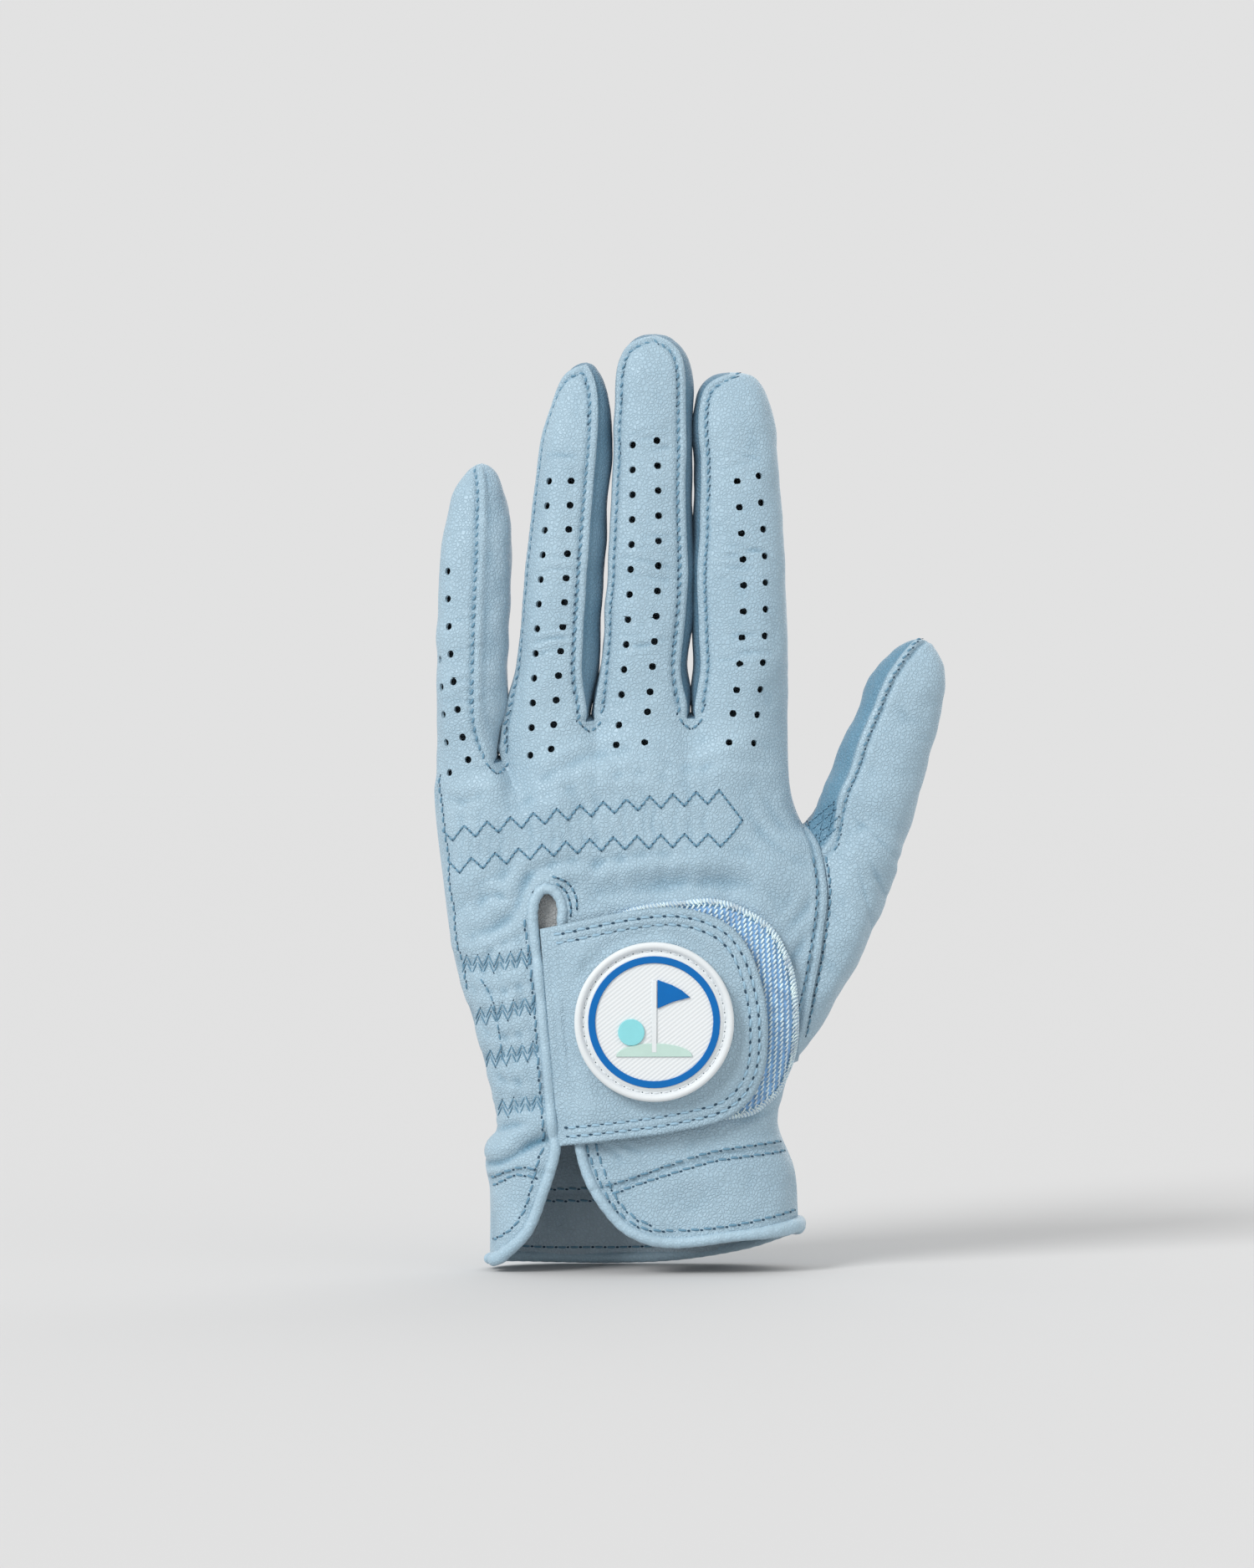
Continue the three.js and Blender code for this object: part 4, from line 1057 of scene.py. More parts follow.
# ------------------------------------------------------------------ thumb
TB = np.array([53.6, 0.5, 112.5])
TT = np.array([66.6, 3.5, 150.4])
T_HALF, T_DEPTH, T_DOME, T_DULL = 11.2, 9.6, 20, 2.1
T_LENGTH = float(np.linalg.norm(TT - TB))
T_ALONG = (TT - TB) / T_LENGTH
T_OUT = unit(np.array([0, -1, 0]) + T_ALONG * T_ALONG[1])
T_INNER = unit(np.cross(T_OUT, T_ALONG))
T_INNER = -T_INNER if T_INNER[0] > 0 else T_INNER
T_PALM_SEAM = 262
# the seam's angle in degrees by distance along the thumb; from -1 at the hand to 0 is its base
thumb_seam = curve([(-1, 40), (-0.5, 46), (0, 54), (20, 54), (36, 60)])


def thumb_point(s, degrees):
    s = np.asarray(s, float)
    shoulder = T_LENGTH - T_DOME
    over = np.clip((s - shoulder) / T_DOME, 0, 1)
    size = lerp(1, 0.86, np.clip(s / shoulder, 0, 1)) * np.maximum(1 - over**T_DULL, 0) ** (1 / T_DULL)
    a = np.radians(degrees)
    c = power(np.cos(a), 2 / FINGER_OVAL)
    d = power(np.sin(a), 2 / FINGER_OVAL)
    across = T_INNER * (T_HALF * size * c)[..., None] + T_OUT * (T_DEPTH * size * d)[..., None]
    return TB + T_ALONG * s[..., None] + across


def thumb_foot(degrees):
    a = np.radians(degrees)
    middle = (THUMB_LOW + THUMB_HIGH) / 2
    z = middle + (middle - THUMB_LOW) * np.cos(a)
    back = np.sin(a) > 0
    x = np.where(back, back_seam(z), palm_seam(z))
    y = np.where(back, back_y(x, z), palm_y(x, z))
    return np.stack([x + 0.2, y * 0.985, z], axis=-1)


def thumb_loft(t, degrees):
    """t from 0 at the hand to 1 at the thumb's straight part."""
    foot, head = thumb_foot(degrees), thumb_point(np.zeros_like(degrees), degrees)
    outer = (1 - np.cos(np.radians(degrees))) / 2
    reach = np.linalg.norm(foot - head, axis=-1, keepdims=True)
    leave = unit(np.stack([lerp(0.72, 0.62, outer), 0 * degrees, lerp(0.86, 0.8, outer)], axis=-1))
    outer = outer[..., None]
    p1, p2 = foot + leave * reach * lerp(0.4, 0.44, outer), head - T_ALONG * reach * lerp(0.4, 0.34, outer)
    t = t[..., None]
    return foot * (1 - t) ** 3 + 3 * p1 * t * (1 - t) ** 2 + 3 * p2 * t * t * (1 - t) + head * t**3


THUMB_COLUMNS = 168
BASE_ROWS = 84
base_rows = np.linspace(0, 1, BASE_ROWS)
seam_column, palm_column = 26, 122
column = np.arange(THUMB_COLUMNS)
tip_rows = np.concatenate([
    np.linspace(0, T_LENGTH - T_DOME, 38)[1:],
    T_LENGTH - T_DOME + T_DOME * np.sin(np.linspace(0, math.pi / 2 - 0.05, 40))[1:],
])
turns = np.stack([
    np.interp(column, [0, seam_column, palm_column, THUMB_COLUMNS],
              [0, float(thumb_seam(s)), T_PALM_SEAM, 360])
    for s in np.concatenate([base_rows - 1, tip_rows])
])
lower = thumb_loft(np.broadcast_to(base_rows[:, None], (BASE_ROWS, THUMB_COLUMNS)), turns[:BASE_ROWS])
upper = thumb_point(np.broadcast_to(tip_rows[:, None], (len(tip_rows), THUMB_COLUMNS)), turns[BASE_ROWS:])
thumb = np.concatenate([lower, upper])
rows, columns = thumb.shape[:2]
flat = thumb.reshape(-1, 3)
THUMB_INSIDE = np.array([50, 0, 100.0])
faces = outwards(flat, grid_faces(rows, columns, closed=True), THUMB_INSIDE)
normals = vertex_normals(flat, faces).reshape(thumb.shape)
x, y, z = thumb[..., 0], thumb[..., 1], thumb[..., 2]
height = ripple(x + y, z, 71, (22, 13), 0.5) + ripple(x - y, z, 72, (7, 4.4), 0.1)
toward = column - seam_column
seam_gap = edge_distance(thumb, seam_column)
outer_side = (toward >= 0) & (toward < 60)
height = height + np.where(outer_side[None, :], ridge(seam_gap), 0) * (seam_gap < 5)
palm_gap = edge_distance(thumb, palm_column)
outer_palm = (column <= palm_column) & (column > palm_column - 60)
height = height + np.where(outer_palm[None, :], ridge(palm_gap), 0) * (palm_gap < 5)
for at, depth in ((0.8, 0.5), (0.66, 0.35), (0.52, 0.3)):
    height[:BASE_ROWS] -= depth * bell(base_rows[:, None], at, 0.022) * bell(column[None, :], 70, 26)
height[:BASE_ROWS] *= smooth(base_rows, 0, 0.06)[:, None]
height *= 1 - smooth(np.arange(rows), rows - 8, rows - 1)[:, None]
thumb = thumb + normals * height[..., None]
crease = creases(height)
# Painted shade: a darker strip on the thumb's inner side, from its seam across, added to the crease attribute.
from_seam = seam_column - np.where(column > 140, column - THUMB_COLUMNS, column)
painted_shade_strip = 0.86 * smooth(from_seam, 0, 3) * (1 - smooth(from_seam, seam_column - 2, seam_column + 22))
crease = np.maximum(crease, painted_shade_strip)
crease = np.concatenate([crease, crease[-1:]]).ravel()
thumb = np.concatenate([thumb, lerp(thumb[-1:], thumb[-1].mean(axis=0), 0.97)])
rows += 1
flat = thumb.reshape(-1, 3)
faces = outwards(flat, grid_faces(rows, columns, closed=True), THUMB_INSIDE)
shading = vertex_normals(flat, faces)
kinds = np.where((column < seam_column) | (column >= palm_column), 1, 0)
split = 78
for part, first, last in (("base", 0, split), ("top", split, rows - 1)):
    quads = faces.reshape(rows - 1, columns, 4)[first:last].reshape(-1, 4)
    piece = leather_piece(f"thumb_{part}_leather", flat, quads, [BACK, PALM, INSIDE],
                          np.tile(kinds, last - first), crease=crease, shading=shading)
    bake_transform(piece)
    if part == "base":
        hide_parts("thumb_base_back", "thumb_base_palm", "thumb_gusset")
    else:
        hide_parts("thumb_back", "thumb_palm")
fine = shading.reshape(thumb.shape)
for at, step in ((seam_column, 4), (palm_column, -4)):
    STITCH_LINES.append(("thumb", 0, thumb[6:-4, at + step], fine[6:-4, at + step]))


# ------------------------------------------------------------------ rolled bindings
def frames(path, normals):
    """Tangent, side and up at each point of a path; up keeps to the given normals."""
    tangent = unit(np.gradient(path, axis=0))
    up = unit(normals - np.sum(normals * tangent, axis=1, keepdims=True) * tangent)
    return tangent, np.cross(tangent, up), up


def tube(name, path, normals, radius, material, sides=14, flat=1.0, wobble=None, closed=False):
    """A round or flattened tube along a path. radius is a number or one for each point."""
    _, across, up = frames(path, normals)
    radius = np.broadcast_to(radius, len(path)).astype(float).copy()
    if not closed:
        radius[0] *= 0.7
        radius[-1] *= 0.7
    turn = np.linspace(0, 2 * math.pi, sides, endpoint=False)
    size = radius[:, None] * (1 + (0 if wobble is None else wobble(np.arange(len(path))[:, None], turn)))
    ring = (
        path[:, None]
        + across[:, None] * (size * np.cos(turn))[..., None]
        + up[:, None] * (size * flat * np.sin(turn))[..., None]
    )
    count = len(path)
    points = ring.reshape(-1, 3)
    faces = grid_faces(count, sides, closed=True).tolist()
    if closed:
        end = (count - 1) * sides
        faces += [[end + j, end + (j + 1) % sides, (j + 1) % sides, j] for j in range(sides)]
    else:
        faces += [list(range(sides)), list(range(len(points) - 1, len(points) - 1 - sides, -1))]
    obj = mesh(name, points, faces, [material])
    face_out(obj.data)
    return obj


TREES = {}  # name: the search tree of each outer surface that stitches have been laid on


def skin_tree(name):
    if name not in TREES:
        TREES[name] = surface_tree(*SKINS[name][:2])
    return TREES[name]


def on_back(points, spacing=0.5, skin="hand_back_leather"):
    """A smooth line on the hand's back through (x, z) points: its points and normals."""
    path = smooth_path(points, spacing)
    tree = skin_tree(skin)
    if skin == "hand_back_leather":
        path[:, 0] = np.clip(path[:, 0], left_side(path[:, 1]) + 0.9, back_right(path[:, 1]) - 0.9)
    places, normals = [], []
    for x, z in path:
        hit, normal, _, _ = tree.ray_cast(Vector((x, -60, z)), Vector((0, 1, 0)), 120)
        if hit is None or hit.y > 3:
            near, normal, _, _ = tree.find_nearest(Vector((x, float(back_y(x, z)), z)))
            hit = Vector((x, near.y, z))
        normal = np.array(normal)
        normal = normal if normal[1] < 0 else -normal
        places.append(np.array(hit))
        normals.append(normal)
    places, normals = np.array(places), unit(np.array(normals))
    for _ in range(3):
        normals[1:-1] = unit(normals[:-2] + 2 * normals[1:-1] + normals[2:])
    return places, normals


BOUND_EDGE = [  # the bound edge from the left hem, up round the keyhole and down to the right hem
    (-37.0, 2.6), (-35, 3.4), (-33.2, 4.9), (-30.6, 7.2), (-28.2, 10.0), (-26.3, 14), (-24.8, 18.4),
    (-22.9, 24), (-21.6, 29.5), (-22.2, 34), (-22.9, 42), (-24, 55.4), (-25.2, 68), (-26.4, 79),
    (-26.9, 84), (-26.5, 88), (-25, 90.6), (-22.9, 91), (-20.9, 89.4), (-19.9, 86.4), (-20, 83),
    (-19.6, 72), (-18.6, 55), (-17.4, 40), (-16, 31.5), (-14.6, 25.4), (-12.6, 20.6), (-9.4, 15.6),
    (-5.6, 11.4), (-1.2, 8.9), (3, 7.7), (9, 7.5), (20, 8.8), (29, 9.7), (35, 10.6), (37.2, 11.2),
]


def on_shape(points, lift, spacing=0.5):
    """A smooth line on the back's own shape, slit or no slit: its points and normals."""
    plan = smooth_path(points, spacing)

    def height(x, z):
        fade = smooth(x - left_side(z), 0, 3) * smooth(back_right(z) - x, 0, 3)
        return back_y(x, z) - back_relief(x, z) * fade

    x, z = plan.T
    e = 0.4
    slope_x = (height(x + e, z) - height(x - e, z)) / (2 * e)
    slope_z = (height(x, z + e) - height(x, z - e)) / (2 * e)
    slope_x, slope_z = np.clip(slope_x, -2.5, 2.5), np.clip(slope_z, -1, 1)
    normals = unit(np.stack([slope_x, -np.ones_like(x), slope_z], axis=1))
    for _ in range(6):
        normals[1:-1] = unit(normals[:-2] + 2 * normals[1:-1] + normals[2:])
    return np.stack([x, height(x, z), z], axis=1) + normals * lift, normals


path, normals = on_shape(BOUND_EDGE, -0.15)
x, z = path[:, 0], path[:, 2]
keyhole = np.exp(-(((x + 23.3) / 5) ** 2) - ((z - 87) / 6) ** 2)
thick = 1.3 + 0.5 * smooth(x, 20, 36) * (z < 16) + 0.4 * smooth(-x, 28, 37) - 0.1 * keyhole
binding = tube(
    "edge_binding", path, normals, thick, EDGE, sides=18, flat=0.92,
    wobble=lambda i, a: 0.085 * np.sin(i * 0.5 * 2 * math.pi / 1.9 + 2 * np.sin(a)) * keyhole[i]
    + 0.03 * np.sin(i * 0.5 * 2 * math.pi / 2.9 + 1.5 * np.cos(a)),
)
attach(binding, "hand")
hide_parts("slit_binding", "hem_back_left", "hem_back_right")

hem_x = np.concatenate([[-37.6], np.linspace(-37, 36.4, 60), [37.3]])
hem_z = hem_palm(hem_x)
hem_points = np.stack([hem_x, np.maximum(palm_y(hem_x, hem_z + 2) - 0.3, 0.2), hem_z], axis=1)
hem_points[0, 1] = -0.6
hem_points[-1, 1] = -0.6
hem_points[-1, 2] = 10.9
hem_path = smooth_path(hem_points, 0.6)
middle = np.stack([hem_path[:, 0] * 0.75, np.zeros(len(hem_path)), hem_path[:, 2]], axis=1)
hem = tube("palm_hem_binding", hem_path, unit(hem_path - middle), 1.3, EDGE, sides=16,
           wobble=lambda i, a: 0.03 * np.sin(i * 0.6 * 2 * math.pi / 2.9 + 1.5 * np.cos(a)))
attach(hem, "hand")
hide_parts("hem_palm")


# ------------------------------------------------------------------ stitches
def value_at(values, length, at):
    """The value at a distance along a path whose points lie at these lengths."""
    return np.array([np.interp(at, length, values[:, axis]) for axis in range(3)])


class Thread:
    """Stitches gathered into one mesh: capsules of thread, and at their ends dark discs of painted shade for the
    needle holes.
    """

    def __init__(self, material):
        self.points, self.faces, self.slots = [], [], []
        self.count = 0
        self.material = material

    def add(self, points, faces, slot):
        self.faces += [[c + self.count for c in face] for face in faces]
        self.slots += [slot] * len(faces)
        self.points.append(points)
        self.count += len(points)

    def row(self, path, normals, pitch=2.6, radius=0.21, share=0.66, slant=0.0, hole=0.36, proud=0.1):
        """Stitches along a path; slant turns each one, in degrees, from the path's direction."""
        length = np.concatenate([[0], np.cumsum(np.linalg.norm(np.diff(path, axis=0), axis=1))])
        count = max(int(length[-1] / pitch), 1)
        step = length[-1] / count
        for k in range(count):
            at = (k + 0.5) * step
            centre, ahead = value_at(path, length, at), value_at(path, length, at + 0.2)
            up = unit(value_at(normals, length, at))
            go = unit(ahead - centre)
            go = unit(go - up * (go @ up))
            side = np.cross(go, up)
            a = math.radians(slant)
            go, side = go * math.cos(a) + side * math.sin(a), side * math.cos(a) - go * math.sin(a)
            half = step * share / 2
            rings = []
            for t in (-1.0, -0.82, -0.35, 0.35, 0.82, 1.0):
                rise = proud + radius * 0.3 - (0.36 if abs(t) == 1 else 0.12 if abs(t) > 0.5 else 0)
                r = radius * (0.55 if abs(t) == 1 else 0.9 if abs(t) > 0.5 else 1.0)
                turn = np.linspace(0, 2 * math.pi, 7)[:-1]
                section = np.cos(turn)[:, None] * side * r * 1.25 + np.sin(turn)[:, None] * up * r
                rings.append(centre + go * half * t + up * rise + section)
            faces = [face[::-1] for face in grid_faces(6, 6, closed=True).tolist()]
            self.add(np.concatenate(rings), faces + [list(range(6)), list(range(35, 29, -1))], 0)
            # A dark disc just over the leather at the stitch's end: painted shade for its needle hole.
            if hole:
                edge = centre + go * step / 2
                turn = np.linspace(0, 2 * math.pi, 9)[:-1]
                rim = edge + np.cos(turn)[:, None] * go * hole * 1.15
                rim = rim + np.sin(turn)[:, None] * side * hole * 0.72
                top = np.concatenate([rim + up * 0.05, rim * 0.55 + edge * 0.45 + up * 0.08])
                ring = [[j, (j + 1) % 8, 8 + (j + 1) % 8, 8 + j] for j in range(8)]
                self.add(top, [face[::-1] for face in ring] + [list(range(15, 7, -1))], 1)

    def build(self, name):
        return mesh(name, np.concatenate(self.points), self.faces, [self.material, HOLE_SHADE], self.slots)


def zigzag(thread, line, start, end, pitch, tall, stitches=3, flip=False, **settings):
    """A zigzag along the curve z = line(x), each leg a few stitches long."""
    count = max(int(round(abs(end - start) / (pitch / 2))), 2)
    xs = np.linspace(start, end, count + 1)
    zs = line(xs) + np.where((np.arange(count + 1) + flip) % 2, 1, -1) * tall / 2
    for k in range(count):
        leg_points = np.stack([np.linspace(xs[k], xs[k + 1], 7), np.linspace(zs[k], zs[k + 1], 7)], axis=1)
        path, normals = on_back(leg_points, spacing=0.4)
        thread.row(path, normals, pitch=np.linalg.norm(path[-1] - path[0]) / stitches * 0.999, **settings)
    return list(zip(xs, zs))


hand_thread = Thread(THREAD)
KNUCKLE_STITCH = dict(radius=0.2, share=0.84, hole=0.27)
top_corners = zigzag(hand_thread, knuckle_top, -48.8, 17.2, 5.5, 3.1, flip=True, **KNUCKLE_STITCH)
low_corners = zigzag(hand_thread, knuckle_low, -47.2, 17.4, 5.5, 3.1, flip=True, **KNUCKLE_STITCH)
for leg in ([low_corners[-1], (19.9, 103.6), (22.7, 107.3)], [top_corners[-1], (22.7, 107.3)]):
    path, normals = on_back(leg)
    hand_thread.row(path, normals, pitch=1.4, **KNUCKLE_STITCH)
for row, line in zip(WRIST_ROWS, wrist_curves):
    for drop in (0.75, -0.75):
        zigzag(hand_thread, lambda x: line(x) + drop, row[0][0], row[-1][0], 2.6, 3.0, stitches=1,
               radius=0.13, share=0.96, hole=0.24)
DOUBLE_ROWS = [
    [(-37.2, 22), (-34.2, 23.6), (-30, 25), (-25.8, 24.6)],
    [(-37, 20), (-34, 21.8), (-30.8, 23.2), (-26, 22.7)],
    [(-10.2, 20.8), (-3.3, 22.9), (10, 27.4), (19.6, 29.6), (35, 31.2)],
    [(-8.6, 18.8), (-0.2, 21.9), (13.2, 26), (20, 27.3), (35.4, 28.8)],
    [(-24.2, 30.4), (-25.9, 25.6), (-28, 17.4), (-29.6, 13.6), (-32.2, 10.2), (-36.4, 7.2)],
    [(-29, 84.4), (-27.6, 74), (-26.4, 62), (-25.6, 50), (-24.8, 40), (-24.2, 31.6)],
    [(-14.4, 31), (-12.2, 24.6), (-9.6, 19), (-6, 14.2), (-1.8, 11.4), (3, 10.4), (12, 10.6), (22, 11.8), (36, 14.6)],
    [(-12.2, 31.4), (-9.8, 24), (-6.6, 17.4), (-2.6, 13.4), (1, 11.8)],
]
for points in DOUBLE_ROWS:
    path, normals = on_back(points)
    hand_thread.row(path, normals, pitch=2.9, slant=8)
KEYHOLE_ARCS = [
    [(-21.6, 92.6), (-19.2, 90.6), (-18.0, 87.6), (-17.9, 84.8)],
    [(-22.6, 94.2), (-18.8, 92.6), (-16.8, 89.6), (-16.4, 86.4)],
]
for arc in KEYHOLE_ARCS:
    path, normals = on_back(arc)
    hand_thread.row(path, normals, pitch=1.8, radius=0.2)
path, normals = on_back([(-39.6, 70), (-36.6, 64.8), (-34.8, 56), (-34.2, 50)])
hand_thread.row(path, normals, pitch=2.4, radius=0.16, hole=0.26)
seam_heights = np.linspace(99, 56, 12)
path, normals = on_back([(float(back_seam(z)) - SEAM_INSET, z) for z in seam_heights])
hand_thread.row(path, normals, pitch=2.5, slant=8)
path, normals = on_back([(float(back_seam(z)) + 1.3, z) for z in seam_heights], skin="thumb_base_leather")
hand_thread.row(path, normals, pitch=2.5, slant=8)
for (x, z), drop in zip(CROTCHES, (2.6, 2.4, 2.4)):
    for side in (-1, 1):
        path, normals = on_back([(x + side * 2.8, z + 0.2), (x + side * 1.8, z - 1.2), (x + side * 0.3, z - drop)])
        hand_thread.row(path, normals, pitch=1.7, radius=0.2, hole=0.3)
GUSSET_QUILTING = [  # the ends of its rows
    ((37.8, 105.6), (44.6, 111.6)), ((38.4, 104), (45.6, 110.4)), ((39.2, 102.4), (45.8, 108.2)),
    ((40.2, 101), (45.4, 105.6)), ((38.4, 101.6), (38.9, 106)), ((41, 101), (42.2, 109.4)),
    ((43.2, 103), (44.6, 111)),
]
for start, end in GUSSET_QUILTING:
    path, normals = on_back([start, lerp(np.array(start), np.array(end), 0.5), end], skin="thumb_base_leather")
    hand_thread.row(path, normals, pitch=1.9, radius=0.17, hole=0.26)
# the side seam of the hand, and the cuff and hem rows on the palm
back_grid = HAND["back"]["grid"]
span = (back_grid[:, 0, 2] > 66) & (back_grid[:, 0, 2] < 118)
fine = vertex_normals(back_grid.reshape(-1, 3), HAND["back"]["faces"]).reshape(back_grid.shape)
hand_thread.row(back_grid[span, 4], fine[span, 4], pitch=2.3, slant=15)


def on_palm(points):
    """A smooth line on the hand's palm through (x, z) points: its points and normals."""
    path = smooth_path(points, 0.6)
    tree = skin_tree("hand_palm_leather")
    places, normals = [], []
    for x, z in path:
        hit, normal, _, _ = tree.ray_cast(Vector((x, 60, z)), Vector((0, -1, 0)), 120)
        if hit is not None and hit.y > -2:
            normal = np.array(normal)
            places.append(np.array(hit))
            normals.append(normal if normal[1] > 0 else -normal)
    return np.array(places), np.array(normals)


for offset in (18.2, 15.2):
    path, normals = on_palm([(-35.5, offset), (0, offset), (34.6, offset)])
    hand_thread.row(path, normals, pitch=2.9, slant=8)
    hand_thread.row(path - normals * (LEATHER + 0.05), -normals, pitch=2.9, slant=8)
path, normals = on_palm([(x, float(hem_palm(x)) + 2.6) for x in (-35.5, -20, -5, 10, 25, 34.8)])
hand_thread.row(path, normals, pitch=2.9)
hand_thread.row(path - normals * (LEATHER + 0.05), -normals, pitch=2.9)
path, normals = on_palm([(float(palm_seam(z)) - SEAM_INSET, z) for z in np.linspace(101, 56, 12)])
hand_thread.row(path, normals, pitch=2.5, slant=8)
hand_stitches = hand_thread.build("hand_stitches")
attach(hand_stitches, "hand")

for f in FINGERS:
    for part in ("root", "end"):
        thread = Thread(THREAD)
        for name, z_split, line, line_normals in STITCH_LINES:
            if name != f["name"]:
                continue
            here = line[:, 2] < z_split if part == "root" else line[:, 2] >= z_split
            if here.sum() > 3:
                cuts = np.where(np.linalg.norm(np.diff(line[here], axis=0), axis=1) > 4)[0] + 1
                for run, run_normals in zip(np.split(line[here], cuts), np.split(line_normals[here], cuts)):
                    if len(run) > 4:
                        thread.row(run, run_normals, pitch=2.15, radius=0.2, slant=28, hole=0.34, share=0.66)
        if not thread.count:
            continue
        sewn = thread.build(f"{f['name']}_{part}_stitches")
        (bend_root if part == "root" else bend_end)(sewn, f)
thread = {"base": Thread(THREAD), "top": Thread(THREAD)}
for name, z_split, line, line_normals in STITCH_LINES:
    if name != "thumb":
        continue
    cut = split - 6
    low = int(np.argmax(line[:, 2] > 99.5))
    for part, run in (("base", slice(low, cut)), ("top", slice(cut, None))):
        thread[part].row(line[run], line_normals[run], pitch=2.3, radius=0.18, slant=20, hole=0.3, share=0.6)
for part in ("base", "top"):
    sewn = thread[part].build(f"thumb_{part}_stitches")
    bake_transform(sewn)


# ------------------------------------------------------------------ closure
def pad(outline, centre, rings, depth):
    """A flat piece seen from the front: polar grid points with y = depth(x, z, distance from the edge)."""
    share = (1 - np.linspace(0, 1, rings))[:, None, None]
    plan = centre + (outline - centre) * share
    reach = np.empty(plan.shape[:2])
    sample = outline[::2]
    for r in range(rings):
        reach[r] = np.sqrt(((plan[r][:, None] - sample[None]) ** 2).sum(-1)).min(axis=1)
    y = depth(plan[..., 0], plan[..., 1], reach)
    grid = np.stack([plan[..., 0], y, plan[..., 1]], axis=-1)[:-1]
    return grid, reach[:-1]


def pad_piece(name, grid, materials, wall, second=None):
    flat = grid.reshape(-1, 3)
    faces = outwards(flat, grid_faces(*grid.shape[:2], closed=True), flat.mean(axis=0) + [0, 60, 0])
    normals = vertex_normals(flat, faces)
    SKINS[name] = (flat, faces, normals)
    solid, quads, inside = thicken(flat, faces, np.broadcast_to([0, -1.0, 0], flat.shape), wall)
    numbers = np.where(inside, len(materials) - 1, 0)
    if second is not None:
        numbers[: len(faces)] = second.ravel()
    obj = mesh(name, solid, quads, materials, numbers)
    face_out(obj.data, fill=True)
    return obj


def slit_facing():
    """The leather facing sewn behind the keyhole, seen through it."""
    turn = np.linspace(0, 2 * math.pi, 48, endpoint=False)
    reach = np.linspace(1, 0.02, 12)[:, None]
    x = -23.2 + reach * 4.6 * np.cos(turn)
    z = 85.4 + reach * 6.4 * np.sin(turn)
    y = back_y(x, z) + 2.3 + ripple(x, z, 44, (6,), 0.12)
    points = np.stack([x, y, z], axis=-1).reshape(-1, 3)
    faces = outwards(points, grid_faces(12, 48, closed=True), points.mean(axis=0) + [0, 30, 0])
    facing = leather_piece("slit_facing", points, faces, [FACING, FACING], wall=0.6)
    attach(facing, "hand")


slit_facing()


def from_tab_edge(x, z):
    """How far a place is to the right of the tab's straight left edge."""
    return x - lerp(-20.8, -25.2, (z - 30.2) / 51.4)


def surface_lift(x, z):
    """How far the tab's inner face is off the hand: tucked under the slit's binding, over hook and loop beyond."""
    from_edge = from_tab_edge(x, z)
    return lerp(-0.35, 2.6, smooth(from_edge, -0.5, 9)) + smooth(x, 18, 35)


TAB_OUTLINE = [(-25.2, 81.6), (-16, 83.6), (-6.2, 85.6), (2, 86.7), (8, 86.7), (14.2, 85.3), (20, 82.2),
               (24.2, 77), (26.9, 70),
               (28.4, 62.6), (28.7, 55), (28, 48.4), (25.6, 42.6), (21.8, 38.6), (17.4, 36.2), (11, 34.6), (2, 33),
               (-10.2, 31.5), (-20.8, 30.2)]
TAB_ROWS = (2.0, 4.1)  # how far the tab's two stitch rows are from its edge
curved = smooth_path(TAB_OUTLINE, 0.5)
tab_outline = np.concatenate([curved, resample(np.array([curved[-1], curved[0]]), 0.5)[1:-1]])
tab_centre = np.array([1.5, 58.5])


def outward(outline, centre, probe):
    """Unit normals of a flat outline, turned away from its centre as found at one probe point."""
    along = np.gradient(outline, axis=0)
    normal = unit(np.stack([along[:, 1], -along[:, 0]], axis=1))
    before = outline[probe] - centre
    after = before + normal[probe]
    return -normal if (after**2).sum() < (before**2).sum() else normal


def tab_depth(x, z, d):
    first, second = TAB_ROWS
    h = -0.7 * (1 - smooth(d, 0, 0.7)) - 0.26 * bell(d, first, 0.5) - 0.26 * bell(d, second, 0.5)
    h = h + 0.12 * bell(d, 3, 0.6)
    h = h + 0.35 * smooth(d, 4, 9) + ripple(x, z, 91, (16, 9), 0.16)
    radius = np.hypot(x - 1.8, z - 59.9)
    h = h - 0.5 * bell(radius, 20.6, 1.6)
    h = np.where(from_tab_edge(x, z) < 1, np.maximum(h, -0.1), h)
    return back_y(x, z) - surface_lift(x, z) - 1.2 - h


grid, _ = pad(tab_outline, tab_centre, 62, tab_depth)
tab = pad_piece("closure_tab_leather", grid, [BACK, INSIDE], 1.1)
thread = Thread(PALE_THREAD)
away = outward(curved, tab_centre, 40)
for inset in TAB_ROWS:
    line = (curved - away * inset)[5:-5]
    path, normals = on_back(line[::3], skin="closure_tab_leather")
    thread.row(path, normals, pitch=3.0, slant=6, radius=0.22, hole=0.44)
tab_stitches = thread.build("closure_tab_stitches")
for piece in (tab, tab_stitches):
    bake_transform(piece)
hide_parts("closure_tab")

LOOP = plain_material("loop_fastener", srgb(118, 162, 206), 0.75, 700, 0.7, 0.0005, 0.3)
SELVEDGE = plain_material("loop_selvedge", srgb(176, 202, 222), 0.45, 900, 0.6, 0.0003, 0.16)
STRAND = plain_material("loop_strand", srgb(206, 224, 240), 0.3, 260, 0.4, 0.0001, 0.34)
LOOP_OUTLINE = [(-14, 36.4), (-14, 77), (-9.6, 82.4), (-3.4, 86.6), (10.2, 88.5), (16.2, 88.7), (22.4, 86.9),
                (29.4, 82.4), (33.4, 75.8),
                (35.4, 69), (36.2, 58.8), (35.4, 50.6), (32.6, 43.4), (28.4, 39.4), (22.4, 36.9), (4, 36)]
loop_outline = smooth_path(LOOP_OUTLINE, 0.5, closed=True)[:-1]


